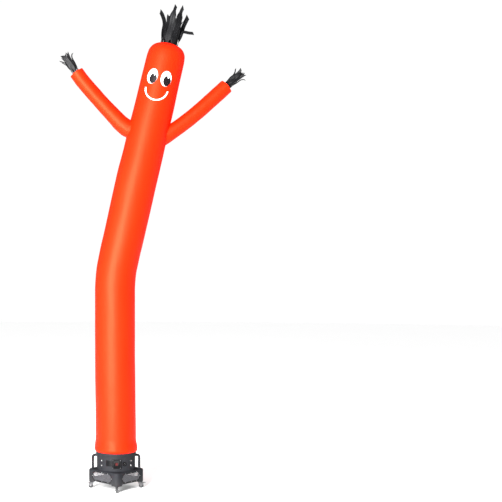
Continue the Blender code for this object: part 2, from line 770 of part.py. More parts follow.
def make_inlet(drum):
    """The round power inlet: a collar with a recess for the plug."""
    face = on_wall(FRONT + INLET_AZIMUTH, 0.0, PANEL_Z)
    low = DRUM_RADIUS - SEAT_DEPTH
    size = (INLET_RADIUS, INLET_FRONT - low)
    collar = disc_mesh("power_inlet", *size, 24, (0.0, 0.0, (INLET_FRONT + low) / 2.0))
    inlet = place("power_inlet", collar, "black_metal", face)
    radius, back = INLET_RECESS
    hollow = disc_mesh("inlet_recess", radius, SEAT_DEPTH, 20, (0, 0, back + SEAT_DEPTH / 2.0))
    boolean(inlet, place("inlet_recess", hollow, None, face))
    boolean(inlet, drum)


def make_bolts():
    """Two pairs of low domed bolt heads."""
    seat = DRUM_RADIUS + FIT
    spots = [
        (FRONT + side * BOLT_AZIMUTH, PANEL_Z + row * BOLT_SPREAD / 2.0)
        for side in (-1.0, 1.0)
        for row in (-1.0, 1.0)
    ]
    centre = (0.0, 0.0, BOLT_HEIGHT / 2.0)
    head = disc_mesh("bolt_head", BOLT_RADIUS, BOLT_HEIGHT, 12, centre, BOLT_RADIUS * 0.6)
    for index, (azimuth, height) in enumerate(spots):
        place(f"bolt_{index}", head, "zinc", on_wall(azimuth, seat, height))


def side_view():
    """Turns a flat outline so that its X stays, its Y is up and its Z is to the side."""
    return Matrix.Rotation(math.radians(90.0), 4, "X")


def fork_mesh():
    """One swivel fork: hub, top plate, two cheeks and the wheel's axle in one."""
    low, high = FORK_TOP
    back, front = FORK_ENDS
    size = (front - back, FORK_WIDTH, high - low)
    fork = place("fork", box_mesh("fork", size, ((front + back) / 2.0, 0.0, (low + high) / 2.0)))
    middle = (low + high) / 2.0
    hub = disc_mesh("fork_hub", HUB_RADIUS, HUB_TOP - middle, 12, (0, 0, (HUB_TOP + middle) / 2.0))
    boolean(fork, place("fork_hub", hub), "UNION")
    top = high - FIT
    toe = arc((CASTER_TRAIL, AXLE_Z), (CHEEK_TOE, CHEEK_TOE), 210, 330, 3)
    outline = [CHEEK_BACK, *toe, CHEEK_FRONT, (CHEEK_FRONT[0], top), (CHEEK_BACK[0], top)]
    inner, outer = CHEEK
    for side in (-1.0, 1.0):
        move = Matrix.Translation((0.0, side * (inner + outer) / 2.0, 0.0))
        name = f"cheek_{'left' if side < 0 else 'right'}"
        cheek = flat_outline(name, [outline], outer - inner, None, move @ side_view())
        boolean(fork, cheek, "UNION")
    axle = disc_mesh("axle", AXLE_RADIUS, 2.0 * outer + BRAKE_HALF, 8)
    frame = Matrix.Translation((CASTER_TRAIL, 0.0, AXLE_Z)) @ side_view()
    boolean(fork, place("axle", axle, None, frame), "UNION")
    return evaluated_mesh(fork)


def wheel_mesh():
    """One wheel, turned about its axle, with a flat of its rim at the bottom."""
    bore, edge = AXLE_RADIUS + FIT, 0.0015
    profile = (
        (WHEEL_RADIUS - edge, WHEEL_HALF),
        (WHEEL_RADIUS, WHEEL_HALF - edge),
        (WHEEL_RADIUS, edge - WHEEL_HALF),
        (WHEEL_RADIUS - edge, -WHEEL_HALF),
        (bore, -WHEEL_HALF),
        (bore, WHEEL_HALF),
    )
    return evaluated_mesh(turned("wheel", profile, WHEEL_SIDES))


def brake_mesh():
    """One brake lever: a barrel between the cheeks and a flat arm."""
    start = math.degrees(math.asin(BRAKE_HALF / BRAKE_BARREL))
    outline = arc((0.0, 0.0), (BRAKE_BARREL, BRAKE_BARREL), start, 360.0 - start, 8)
    outline += [(BRAKE_LENGTH, -BRAKE_HALF), (BRAKE_LENGTH, BRAKE_HALF)]
    width = 2.0 * (CHEEK[0] - FIT)
    return evaluated_mesh(flat_outline("brake", [outline], width))


def make_casters():
    """Four swivel casters under the corners, each on an empty at its swivel axis."""
    fork, wheel, brake = fork_mesh(), wheel_mesh(), brake_mesh()
    high = BASE_LOW - FIT
    size = (PLATE_RADIUS, high - PLATE_LOW)
    plate = disc_mesh("plate", *size, 12, (0.0, 0.0, (high + PLATE_LOW) / 2.0))
    half_step = Matrix.Rotation(math.pi / WHEEL_SIDES, 4, "Z")
    wheel_at = Matrix.Translation((CASTER_TRAIL, 0.0, AXLE_Z)) @ side_view() @ half_step
    pitch = Matrix.Rotation(-BRAKE_PITCH, 4, "Y")
    brake_at = Matrix.Translation((BRAKE_AXIS[0], 0.0, BRAKE_AXIS[1])) @ pitch @ side_view()
    for index, azimuth in enumerate(CORNER_AZIMUTHS):
        swivel = bpy.data.objects.new(f"swivel_axis_{index}", None)
        swivel.parent = AXIS
        spot = Matrix.Translation((CASTER_RADIUS, 0.0, 0.0))
        swivel.matrix_basis = Matrix.Rotation(azimuth, 4, "Z") @ spot
        DANCER.objects.link(swivel)
        place(f"caster_plate_{index}", plate, "zinc", None, swivel)
        place(f"caster_fork_{index}", fork, "zinc", None, swivel)
        place(f"caster_wheel_{index}", wheel, "grey_wheel", wheel_at, swivel)
        place(f"caster_brake_{index}", brake, "zinc", brake_at, swivel)


def main():
    """Makes the dancer, then the blower that it stands on."""
    make_cloth()
    make_all_ribbons()
    make_face()
    make_housing()
    make_grilles()
    make_outlet()
    make_handles()
    drum = drum_cutter()
    make_switch(drum)
    make_inlet(drum)
    make_bolts()
    make_casters()


main()
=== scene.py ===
# %% [markdown]
# # An air dancer standing on its blower
#
# The dancer is a tube of coated nylon that a fan keeps upright. Its arms, face and
# ribbons are sewn on, and its hem closes on the neck of a moulded blower on casters.
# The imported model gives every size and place; this lesson dresses it with finer
# cloth, finer fittings and a finish for each material.

from math import atan2, copysign, cos, hypot, pi, radians, sin, sqrt, tau

import bmesh
import bpy
import numpy as np
from mathutils import Matrix, Vector
from mathutils.bvhtree import BVHTree
from mathutils.noise import noise


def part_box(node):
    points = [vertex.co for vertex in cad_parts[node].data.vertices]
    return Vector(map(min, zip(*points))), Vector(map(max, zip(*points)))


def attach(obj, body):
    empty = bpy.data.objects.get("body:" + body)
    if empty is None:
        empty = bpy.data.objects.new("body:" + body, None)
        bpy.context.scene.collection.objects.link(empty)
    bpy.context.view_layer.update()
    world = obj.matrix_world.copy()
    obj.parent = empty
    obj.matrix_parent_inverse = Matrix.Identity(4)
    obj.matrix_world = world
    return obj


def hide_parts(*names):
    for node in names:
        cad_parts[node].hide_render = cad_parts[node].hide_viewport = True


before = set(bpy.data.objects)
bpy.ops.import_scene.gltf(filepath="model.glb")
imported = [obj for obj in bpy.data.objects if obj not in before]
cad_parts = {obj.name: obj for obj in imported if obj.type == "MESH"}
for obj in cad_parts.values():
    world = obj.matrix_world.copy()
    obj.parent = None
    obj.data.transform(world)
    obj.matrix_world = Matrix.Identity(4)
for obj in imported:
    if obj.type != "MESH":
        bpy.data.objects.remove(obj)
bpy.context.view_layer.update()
scene = bpy.context.scene
BLOWER_X = (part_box("housing")[0].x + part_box("housing")[1].x) / 2
ROOT = "blower_and_dancer"
shift = Matrix.Translation


def turned(degrees, letter):
    """A turn about one of the axes."""
    return Matrix.Rotation(radians(degrees), 4, letter)


# %% [markdown]
# ## Stage, camera and light
#
# The photograph was taken from about head height, seven metres away. The lens is
# shifted, as on an architect's camera, so that upright lines stay upright while the
# dancer stands in the left of the picture. A white room gives even light, a tall lamp
# draws the pale stripe up the cloth, and a weak one on the left leaves the right side
# deeper in colour.

# %% Camera
CAMERA_FROM = Vector((BLOWER_X - 0.24, -7.52, 1.6))
PICTURE_MIDDLE = Vector((BLOWER_X + 1.04, 0.0, 1.823))
LENS = 70.0
SENSOR = 36.0

lens = bpy.data.cameras.new("studio_camera")
lens.lens = LENS
lens.sensor_width = SENSOR
lens.clip_end = 100.0
camera = bpy.data.objects.new("studio_camera", lens)
camera.location = CAMERA_FROM
camera.rotation_euler = (radians(90.0), 0.0, 0.0)
picture_width = -CAMERA_FROM.y * SENSOR / LENS
lens.shift_x = (PICTURE_MIDDLE.x - CAMERA_FROM.x) / picture_width
lens.shift_y = (PICTURE_MIDDLE.z - CAMERA_FROM.z) / picture_width
scene.collection.objects.link(camera)
scene.camera = camera
print("picture", round(picture_width, 2), "m wide at the dancer")

# %% Soft lamps and a white room, whose reflections are dimmer than its light
ROOM_GLOW, ROOM_SHINE = 1.02, 0.0
LAMPS = {
    "stripe_lamp": ((-2.85, -5.8, 2.2), (1.7, 5.0), 2350.0, (-0.1, 0.0, 1.7)),
    "left_lamp": ((-5.3, -2.6, 2.2), (2.0, 4.5), 100.0, (-0.1, 0.0, 1.7)),
    "blower_lamp": ((-0.6, -2.6, 0.9), (1.2, 0.8), 3.0, (-0.28, 0.0, 0.15)),
}


def add_lamp(name, place, size, watts, aim):
    """A rectangular lamp that faces a point."""
    data = bpy.data.lights.new(name, "AREA")
    data.shape = "RECTANGLE"
    data.size, data.size_y = size
    data.energy = watts
    lamp = bpy.data.objects.new(name, data)
    lamp.location = place
    lamp.rotation_euler = (Vector(aim) - Vector(place)).to_track_quat("-Z", "Y").to_euler()
    scene.collection.objects.link(lamp)


for lamp_name, facts in LAMPS.items():
    add_lamp(lamp_name, *facts)

room = bpy.data.worlds.new("white_room")
room.use_nodes = True
glow = room.node_tree.nodes["Background"]
glow.inputs["Color"].default_value = (1.0, 1.0, 1.0, 1.0)
rays = room.node_tree.nodes.new("ShaderNodeLightPath")
dimmer = room.node_tree.nodes.new("ShaderNodeMapRange")
dimmer.inputs["To Min"].default_value = ROOM_GLOW
dimmer.inputs["To Max"].default_value = ROOM_SHINE
room.node_tree.links.new(rays.outputs["Is Glossy Ray"], dimmer.inputs["Value"])
room.node_tree.links.new(dimmer.outputs["Result"], glow.inputs["Strength"])
scene.world = room
scene.view_settings.view_transform = "Standard"
scene.view_settings.look = "None"
print("lamps", len(LAMPS))

# %% [markdown]
# ## Shader maths that reads like sums
#
# Every finish is drawn by nodes, without pictures. One small class holds an output
# socket: adding or multiplying two of them adds the Math node, and any other node
# comes from its method `node`.

# %% A socket that can be added and multiplied
class Wire:
    """One output socket of a material, or the material's start when it has none."""

    def __init__(self, tree, socket=None):
        self.tree = tree
        self.socket = socket

    def node(self, kind, settings=None, inputs=None, output=0):
        """Any node: its settings are set first, then the values or links of its sockets."""
        made = self.tree.nodes.new(kind)
        for key, value in (settings or {}).items():
            setattr(made, key, value)
        for key, value in (inputs or {}).items():
            if isinstance(value, Wire):
                self.tree.links.new(value.socket, made.inputs[key])
            else:
                made.inputs[key].default_value = value
        return Wire(self.tree, made.outputs[output])

    def math(self, operation, *values):
        """A Math node of these values, which may be sockets or numbers."""
        return self.node("ShaderNodeMath", {"operation": operation}, dict(enumerate(values)))

    def __add__(self, other):
        return self.math("ADD", self, other)

    __radd__ = __add__

    def __sub__(self, other):
        return self.math("SUBTRACT", self, other)

    def __rsub__(self, other):
        return self.math("SUBTRACT", other, self)

    def __mul__(self, other):
        return self.math("MULTIPLY", self, other)

    def __truediv__(self, other):
        return self.math("DIVIDE", self, other)

    def __gt__(self, other):
        return self.math("GREATER_THAN", self, other)

    def __lt__(self, other):
        return self.math("LESS_THAN", self, other)


print("socket class ready:", Wire.__name__)

# %% Helpers that every finish shares
FINISHES = {}


def start_finish(slot, name):
    """A slot's new material: its start, and its place on the object."""
    FINISHES[slot] = material = bpy.data.materials.new(name)
    material.use_nodes = True
    start = Wire(material.node_tree)
    return start, object_place(start)


def feed(wire, socket):
    """Links a wire to one of its material's shader sockets."""
    wire.tree.links.new(wire.socket, wire.tree.nodes["Principled BSDF"].inputs[socket])


def object_place(start, scale=(1.0, 1.0, 1.0)):
    """Object coordinates, in metres, through a Mapping node."""
    raw = start.node("ShaderNodeTexCoord", output="Object")
    return start.node("ShaderNodeMapping", None, {"Vector": raw, "Scale": scale})


def axis(vector, letter):
    """One of a vector's three numbers."""
    return vector.node("ShaderNodeSeparateXYZ", None, {0: vector}, letter)


def flat_cut(start):
    """Across and along the flat cut of a cloth piece, in metres, from its UV map."""
    raw = start.node("ShaderNodeUVMap", {"uv_map": "flat_cut"})
    return axis(raw, "X"), axis(raw, "Y")


def speckle(place, scale, detail=3.0):
    """Cloudy noise from 0 to 1."""
    settings = {"Vector": place, "Scale": scale, "Detail": detail, "Roughness": 0.55}
    return place.node("ShaderNodeTexNoise", None, settings, "Fac")


def blend(factor, first, second):
    """A colour between two others, each a socket or red, green and blue."""
    first, second = (c if isinstance(c, Wire) else (*c, 1.0) for c in (first, second))
    return factor.node("ShaderNodeMix", {"data_type": "RGBA"}, {0: factor, 6: first, 7: second}, 2)


def set_shader(dye, roughness, height, **fixed):
    """Feeds a finish's colour, roughness and relief, and sets its fixed values."""
    relief = {"Strength": 1.0, "Distance": 1.0, "Height": height}
    feed(dye, "Base Color")
    feed(roughness, "Roughness")
    feed(height.node("ShaderNodeBump", None, relief, "Normal"), "Normal")
    for socket, value in fixed.items():
        dye.tree.nodes["Principled BSDF"].inputs[socket.replace("_", " ")].default_value = value


def band_mask(wire, middle, half, soft):
    """One near a value of the wire and zero away from it, with soft edges."""
    offset = wire - middle
    away = offset.math("ABSOLUTE", offset)
    mask = 1.0 - (away - half) / soft
    return mask.node("ShaderNodeClamp", None, {"Value": mask})


print("finish helpers ready")

# %% [markdown]
# ## Cloth starts as a flat cut
#
# A tube of cloth is a flat rectangle, sewn into a roll. Here a grid is the flat cut,
# a function carries each of its points to its place, and the edges that meet at the
# seam are merged. The place on the flat cut is kept as a UV map in metres, so weave
# and stitches follow the cloth. Solidify then thickens it, on its inner side.

# %% Helpers for cloth
FINISH_OF = {}
MEET, CLOSE = 0.00002, 0.000005


def lay_cloth(bm, across, along, carry):
    """Adds a flat cut, ruled at these lengths, carried to its place."""
    layers = bm.loops.layers.uv
    for name in ("flat_cut", "edge_cut"):
        if name not in layers:
            layers.new(name)
    cuts, edges = layers["flat_cut"], layers["edge_cut"]
    columns, rows = len(across) - 1, len(along) - 1
    grid = bmesh.ops.create_grid(bm, x_segments=columns, y_segments=rows, size=0.5)
    own = set(grid["verts"])
    flat = {}
    for vert in own:
        column, row = round((vert.co.x + 0.5) * columns), round((vert.co.y + 0.5) * rows)
        flat[vert] = (across[column], along[row])
        vert.co = carry(*flat[vert])
    for face in {face for vert in own for face in vert.link_faces}:
        for loop in face.loops:
            u, v = flat[loop.vert]
            loop[cuts].uv = (u, v)
            loop[edges].uv = (min(u - across[0], across[-1] - u), min(v - along[0], along[-1] - v))


def make_piece(name, bm, finish, stands_for=None, smooth=35, body=ROOT, dress=None):
    """Turns a bmesh into an object that rides on a body."""
    mesh = bpy.data.meshes.new(name)
    bm.to_mesh(mesh)
    bm.free()
    mesh.shade_smooth()
    mesh.set_sharp_from_angle(angle=radians(smooth))
    piece = bpy.data.objects.new(name, mesh)
    scene.collection.objects.link(piece)
    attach(piece, body)
    FINISH_OF[name] = dress or finish
    if stands_for:
        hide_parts(stands_for)
    print(name, len(mesh.polygons), "faces")
    return piece


def close_seams(bm):
    """Merges points that meet and turns every face outward."""
    bmesh.ops.remove_doubles(bm, verts=bm.verts, dist=MEET)
    bmesh.ops.recalc_face_normals(bm, faces=bm.faces)


def thicken(piece, thickness, offset=-1.0):
    """Cloth thickness, on the inner side unless an offset is given."""
    wall = piece.modifiers.new("thickness", "SOLIDIFY")
    wall.thickness = thickness
    wall.offset = offset


print("cloth helpers ready")

# %% Rows of numbers, read at any distance along them
class SmoothRows:
    """Cubic pieces between rows, without overshoot."""

    def __init__(self, rows):
        self.table = np.array(rows, float)
        steps = np.sqrt((np.diff(self.table, axis=0) ** 2).sum(axis=1))
        self.at = np.concatenate(([0.0], np.cumsum(steps)))
        slopes = np.diff(self.table, axis=0) / steps[:, None]
        before, after = slopes[:-1], slopes[1:]
        product = before * after
        mean = np.where(product > 0, 2 * product / np.where(product > 0, before + after, 1.0), 0.0)
        self.slopes = np.vstack((slopes[:1], mean, slopes[-1:]))
        self.length = float(self.at[-1])

    def __call__(self, distance):
        index = int(np.clip(np.searchsorted(self.at, distance) - 1, 0, len(self.at) - 2))
        step = self.at[index + 1] - self.at[index]
        t = (distance - self.at[index]) / step
        low, high = self.table[index], self.table[index + 1]
        rise, leave = self.slopes[index] * step, self.slopes[index + 1] * step
        value = (2 * t**3 - 3 * t**2 + 1) * low + (t**3 - 2 * t**2 + t) * rise
        return value + (3 * t**2 - 2 * t**3) * high + (t**3 - t**2) * leave


print("row reader ready:", SmoothRows.__name__)

# %% The body tube's sections
CLOTH = 0.0012
HEAD_POINT = Vector((0.348 + BLOWER_X, 0.0, 3.162))
HEAD_LEAN = radians(13.4)
TUBE_SECTIONS = (
    (0.0, 0.2848, 0.154), (0.0, 0.2885, 0.159), (0.0, 0.294, 0.1634),
    (0.0, 0.303, 0.1652), (0.0, 0.32, 0.1638), (-0.001, 0.342, 0.1606),
    (-0.001, 0.36, 0.1577), (-0.001, 0.387, 0.155), (-0.008, 1.137, 0.154),
    (-0.008, 1.522, 0.154), (-0.004, 1.599, 0.1542), (0.004, 1.676, 0.1544),
    (0.019, 1.753, 0.1548), (0.035, 1.83, 0.1555), (0.054, 1.907, 0.156),
    (0.089, 2.061, 0.157), (0.123, 2.215, 0.1575), (0.162, 2.385, 0.1575),
    (0.208, 2.57, 0.1555), (0.25, 2.754, 0.154), (0.296, 2.939, 0.152),
    (0.339, 3.124, 0.149),
)
DOME_SECTIONS = ((0.131, 0.1475), (0.185, 0.142), (0.22, 0.125), (0.241, 0.101), (0.253, 0.072))


def along_head(rise, radius):
    """A section of the head at this rise above the head's point."""
    x = HEAD_POINT.x + rise * sin(HEAD_LEAN)
    return x, HEAD_POINT.z + rise * cos(HEAD_LEAN), radius


tube_rows = [(x + BLOWER_X, z, radius) for x, z, radius in TUBE_SECTIONS]
tube_rows += [along_head(rise, radius) for rise, radius in DOME_SECTIONS]
tube_path = SmoothRows(tube_rows)
print("tube", round(tube_path.length, 3), "m from hem to vent")

# %% [markdown]
# ## The body tube
#
# On the real dancer this is one roll of nylon about 0.97 m round, with its long seam
# at the back. Air keeps it round and tight, so the folds are few: small gathers where
# the hem is strapped to the neck, and a faint ripple elsewhere. Moving a cylinder's
# rings would give the shape, but the flat cut gives the seam and the UV map too.

# %% Carry the flat cut to the tube
TUBE_ROUND = 0.97
TUBE_COLUMNS = 96
HEM_END = 0.1
GATHERS, GATHER_HIGH, RIPPLE_HIGH = 34, 0.0011, 0.0012
HEM_LONG, DOME_LONG = 0.12, 0.24


def lean_at(path, distance):
    """Lean of a path from upright, from two near points."""
    step = 0.012
    low = path(max(0.0, distance - step))
    high = path(min(path.length, distance + step))
    return atan2(high[0] - low[0], high[1] - low[1])


def tube_ripple(turn, distance):
    """How far the cloth stands out of the smooth tube here."""
    near_hem = max(0.0, 1.0 - distance / HEM_END)
    phase = 2.5 * noise(Vector((cos(turn), sin(turn), 0.0)) * 1.7)
    gather = GATHER_HIGH * near_hem * sin(GATHERS * turn + phase * 3.0)
    place = Vector((cos(turn) * 0.9, sin(turn) * 0.9, distance * 2.2))
    return gather + RIPPLE_HIGH * noise(place * 2.0) * min(1.0, distance / HEM_END)


def round_point(path, turn, distance, outward=0.0):
    """A point round a path: a turn of 0 is its right side, -90 its front."""
    x, z, radius = path(distance)
    lean = lean_at(path, distance)
    radius += outward
    side = radius * cos(turn)
    return Vector((x + side * cos(lean), radius * sin(turn), z - side * sin(lean)))


def carry_tube(across, along):
    """Rolls the flat cut up, with its seam at the back."""
    turn = radians(90.0) + across / TUBE_ROUND * tau
    return round_point(tube_path, turn, along, tube_ripple(turn, along))


dome_start = tube_path.length - DOME_LONG
tube_along = np.concatenate((
    np.linspace(0.0, HEM_LONG, 32, endpoint=False),
    np.linspace(HEM_LONG, dome_start, 150, endpoint=False),
    np.linspace(dome_start, tube_path.length, 22),
))
bm_tube = bmesh.new()
lay_cloth(bm_tube, np.linspace(0.0, TUBE_ROUND, TUBE_COLUMNS + 1), tube_along, carry_tube)
close_seams(bm_tube)
tube_surface = BVHTree.FromBMesh(bm_tube)
print("tube faces", len(bm_tube.faces))

# %% [markdown]
# ## The arms
#
# Each arm is its own roll of nylon, sewn to the body by a narrow allowance turned
# out; the other end has a small panel with a vent. Every thread along the arm starts
# where it leaves the body, so the sewn edge follows the body's curve by itself.

# %% Where each thread of an arm leaves the body
ARM_STANDOFF = 0.0006
ARM_SECTIONS = {
    "left": (
        (0.25, 2.748, 0.069), (0.11, 2.76, 0.068), (0.046, 2.8, 0.0645),
        (-0.008, 2.854, 0.061), (-0.068, 2.918, 0.0585), (-0.13, 2.986, 0.057),
        (-0.195, 3.06, 0.057), (-0.259, 3.135, 0.0565), (-0.304, 3.197, 0.056),
    ),
    "right": (
        (0.29, 2.648, 0.06), (0.404, 2.7235, 0.059), (0.511, 2.799, 0.0575),
        (0.627, 2.891, 0.057), (0.74, 2.991, 0.057), (0.85, 3.091, 0.0565),
    ),
}
ARM_END = ((0.0032, 0.05), (0.0048, 0.033))


def leaves_body(path, turn):
    """How far along an arm one of its threads comes out of the body."""
    inside, outside = 0.0, path.length * 0.6
    for _ in range(22):
        middle = (inside + outside) / 2
        point = round_point(path, turn, middle)
        spot, normal, _, _ = tube_surface.find_nearest(point)
        if (point - spot).dot(normal) > ARM_STANDOFF:
            outside = middle
        else:
            inside = middle
    return outside


def arm_path(side):
    """The arm's sections with its end panel."""
    rows = [(x + BLOWER_X, z, radius) for x, z, radius in ARM_SECTIONS[side]]
    (x0, z0, _), (x1, z1, _) = rows[-2:]
    lean = atan2(x1 - x0, z1 - z0)
    rows += [(x1 + rise * sin(lean), z1 + rise * cos(lean), r) for rise, r in ARM_END]
    return SmoothRows(rows), (x1, z1, lean)


print("arm sections", [len(rows) for rows in ARM_SECTIONS.values()])

# %% Carry the flat cuts to the arms
ARM_COLUMNS = 48
SEW_ALLOWANCE = 0.005
ARM_ROUND = tau * 0.0545
ARM_INSIDE_BODY = 0.14
PUCKER_HIGH, PUCKER_END, CALM_START = 0.001, 0.16, 0.03


def arm_carrier(path, phase):
    """The function that rolls up one arm's flat cut."""
    starts = {}

    def carry(across, along):
        turn = radians(90.0) + across / ARM_ROUND * tau
        key = round(across, 5)
        if key not in starts:
            starts[key] = leaves_body(path, turn)
        start = starts[key]
        if along < 0:
            root = round_point(path, turn, start)
            out = root - round_point(path, turn + pi, start)
            spot, normal, _, _ = tube_surface.find_nearest(root + out.normalized() * SEW_ALLOWANCE)
            return spot + normal * ARM_STANDOFF
        near_root = max(0.0, 1.0 - along / PUCKER_END)
        place = Vector((cos(turn), sin(turn), along * 9.0 + phase))
        pucker = PUCKER_HIGH * near_root * sin(9 * turn + phase) + PUCKER_HIGH * noise(place * 1.6)
        pucker *= min(1.0, along / CALM_START)
        return round_point(path, turn, start + (path.length - start) * along, pucker)

    return carry


arm_ends = {}
for side, phase in (("left", 0.3), ("right", 2.1)):
    path, arm_ends[side] = arm_path(side)
    along = np.concatenate(([-0.01], np.linspace(0.0, 0.985, 46), np.linspace(0.9885, 1.0, 5)))
    bm = bmesh.new()
    lay_cloth(bm, np.linspace(0.0, ARM_ROUND, ARM_COLUMNS + 1), along, arm_carrier(path, phase))
    reach = path.length - ARM_INSIDE_BODY
    for face in bm.faces:
        for loop in face.loops:
            for layer in ("flat_cut", "edge_cut"):
                loop[bm.loops.layers.uv[layer]].uv.y *= reach
    close_seams(bm)
    arm = make_piece(f"{side}_arm_cloth", bm, "orange_nylon", f"{side}_arm", 60)
    thicken(arm, CLOTH)

# %% The tube itself, now that the arms know its surface
tube = make_piece("dancer_tube_cloth", bm_tube, "orange_nylon", "dancer_tube", 60)
thicken(tube, CLOTH)

# %% [markdown]
# ## The face
#
# The face is five patches of plain cloth, sewn on. Each is laid out flat, as rings
# from its middle to its edge, and then pressed straight back onto the rounded head.
# The second number of its UV map is the distance in from its cut edge, which later
# draws the stitches.

# %% Press a point of the flat drawing onto the head
FACE_TURN = radians(7.0)
across_face = Vector((cos(FACE_TURN), -sin(FACE_TURN), 0.0))
up_face = Vector((0.0, 0.0, 1.0))
turn_face = Matrix((across_face, up_face, across_face.cross(up_face))).transposed().to_4x4()
face_frame = shift(HEAD_POINT) @ Matrix.Rotation(HEAD_LEAN, 4, "Y") @ turn_face


def press(x, y, lift):
    """A point of the face's flat drawing, pressed back onto the head's cloth."""
    start = face_frame @ Vector((x, y, 0.4))
    back = (face_frame.to_3x3() @ Vector((0.0, 0.0, -1.0))).normalized()
    spot, normal, _, _ = tube_surface.ray_cast(start, back)
    return spot + normal * lift


print("face middle", [round(value, 3) for value in press(0.0, 0.0, 0.0)])

# %% Cut and press the eyes
PATCH_GAP = 0.0004
EYE_PLACES = {"left": Vector((-0.052, -0.035)), "right": Vector((0.052, -0.035))}
WHITE_RADII = (0.0405, 0.06)
PUPIL_OFFSET = Vector((0.0085, -0.0155))
PUPIL_RADII = (0.027, 0.0395)
NOTCH_OFFSET = Vector((0.0055, 0.038))
NOTCH_RADII = (0.006, 0.017)


def oval_reach(turn, radii):
    """Distance from an oval's middle to its edge."""
    return 1.0 / hypot(cos(turn) / radii[0], sin(turn) / radii[1])


def pupil_reach(turn):
    """Distance from a pupil's middle to its edge, where the notch comes in at the top."""
    edge = oval_reach(turn, PUPIL_RADII)
    step = 0.0004
    for count in range(int(edge / step)):
        spot = Vector((cos(turn), sin(turn))) * (count * step)
        inside = spot - NOTCH_OFFSET
        if hypot(inside.x / NOTCH_RADII[0], inside.y / NOTCH_RADII[1]) < 1.0:
            return count * step
    return edge


def round_patch(name, centre, reach, lift, finish, stands_for, sides=72, dress=None):
    """A patch made of rings from its middle to its edge."""
    rim = reach(0.0)

    def carry(across, along):
        turn = across / rim
        distance = reach(turn) * (1.0 - along / rim)
        x = centre.x + distance * cos(turn)
        return press(x, centre.y + distance * sin(turn), lift)

    bm = bmesh.new()
    lay_cloth(bm, np.linspace(0.0, tau * rim, sides + 1), np.linspace(rim, 0.0, 13), carry)
    close_seams(bm)
    patch = make_piece(name, bm, finish, stands_for, 70, dress=dress)
    thicken(patch, CLOTH)
    return patch


low_lift = PATCH_GAP + CLOTH
high_lift = 2 * low_lift
for side, centre in EYE_PLACES.items():
    white = round_patch(
        f"{side}_eye_white_patch", centre, lambda turn: oval_reach(turn, WHITE_RADII), low_lift,
        "white_patch", f"{side}_eye_white", dress="eye_patch",
    )
    pupil = round_patch(
        f"{side}_pupil_patch", centre + PUPIL_OFFSET, pupil_reach, high_lift, "dark_patch", f"{side}_pupil", 96,
    )

# %% The smile is a bent strip
SMILE_CENTRE = Vector((0.0, -0.1225))
SMILE_RADII = (0.084, 0.088)
SMILE_HALF, SMILE_LONG = 0.005, 0.284
SMILE_MEAN = 0.086


def carry_smile(across, along):
    """Bends a strip along the lower half of an oval, with round ends."""
    turn = pi * (1.0 + along)
    end = min(along, 1.0 - along) * pi * SMILE_MEAN
    half = SMILE_HALF * sqrt(max(0.0, 1.0 - max(0.0, 1.0 - end / SMILE_HALF) ** 2))
    outward = Vector((cos(turn) / SMILE_RADII[0], sin(turn) / SMILE_RADII[1])).normalized()
    middle = SMILE_CENTRE + Vector((SMILE_RADII[0] * cos(turn), SMILE_RADII[1] * sin(turn)))
    spot = middle + outward * (across / SMILE_HALF * half)
    return press(spot.x, spot.y, low_lift)


bm = bmesh.new()
lay_cloth(bm, np.linspace(-SMILE_HALF, SMILE_HALF, 7), np.linspace(0.0, 1.0, 81), carry_smile)
for face in bm.faces:
    for loop in face.loops:
        uv = loop[bm.loops.layers.uv["flat_cut"]].uv
        uv.x, uv.y = uv.y * SMILE_LONG, SMILE_HALF - abs(uv.x)
close_seams(bm)
smile = make_piece("smile_patch", bm, "white_patch", "smile", 70)
thicken(smile, CLOTH)

# %% [markdown]
# ## Hair and streamers
#
# The hair is a bundle of black nylon ribbons, sewn to one narrow tape inside the
# head's vent, and each hand has a smaller bundle. Moving air bends, twists and creases
# every ribbon in its own way, so each is a narrow flat cut, carried along a bent path.

# %% Ribbon tables: azimuth, width, length, root lean, tip lean, bend start, tip twist, tip cut
HAIR_RING = (0.0669, 0.0706, 0.006)
HAIR_ROOT = 0.02
HAIR_RIBBONS = (
    (250, 0.052, 0.304, -2, -1, 0.5, 6, "taper"), (290, 0.052, 0.3, -1, 14, 0.7, -8, "taper"),
    (212, 0.034, 0.222, -2, 2, 0.5, 12, "slant"), (184, 0.034, 0.262, 0, 60, 0.46, 74, "slant"),
    (148, 0.034, 0.226, -2, 4, 0.45, -15, "slant"), (110, 0.05, 0.25, -2, 2, 0.5, 8, "slant"),
    (70, 0.05, 0.246, -2, 2, 0.55, -8, "slant"), (36, 0.03, 0.206, -2, 6, 0.5, 12, "slant"),
    (10, 0.034, 0.262, 3, 15, 0.3, 84, "slant"), (346, 0.026, 0.208, 4, 92, 0.44, -70, "crook"),
    (318, 0.03, 0.216, -2, 4, 0.55, 18, "notch"),
)
HAND_RING = (0.0285, 0.032, 0.005)
HAND_ROOT = 0.009
HAND_RIBBONS = (
    (268, 0.025, 0.152, -2, 6, 0.5, 20, "notch"), (228, 0.021, 0.162, -2, 24, 0.55, -35, "slant"),
    (188, 0.018, 0.146, 0, 52, 0.55, 40, "slant"), (150, 0.018, 0.132, 2, 50, 0.5, -30, "slant"),
    (110, 0.024, 0.156, -2, 12, 0.5, 25, "notch"), (70, 0.024, 0.164, -2, 14, 0.55, -22, "slant"),
    (34, 0.019, 0.148, -1, 26, 0.55, 35, "slant"), (352, 0.016, 0.142, 4, 62, 0.55, -40, "slant"),
    (310, 0.022, 0.16, -2, 16, 0.5, 30, "notch"),
)
print("ribbons", len(HAIR_RIBBONS), "in the hair", len(HAND_RIBBONS), "in each hand")

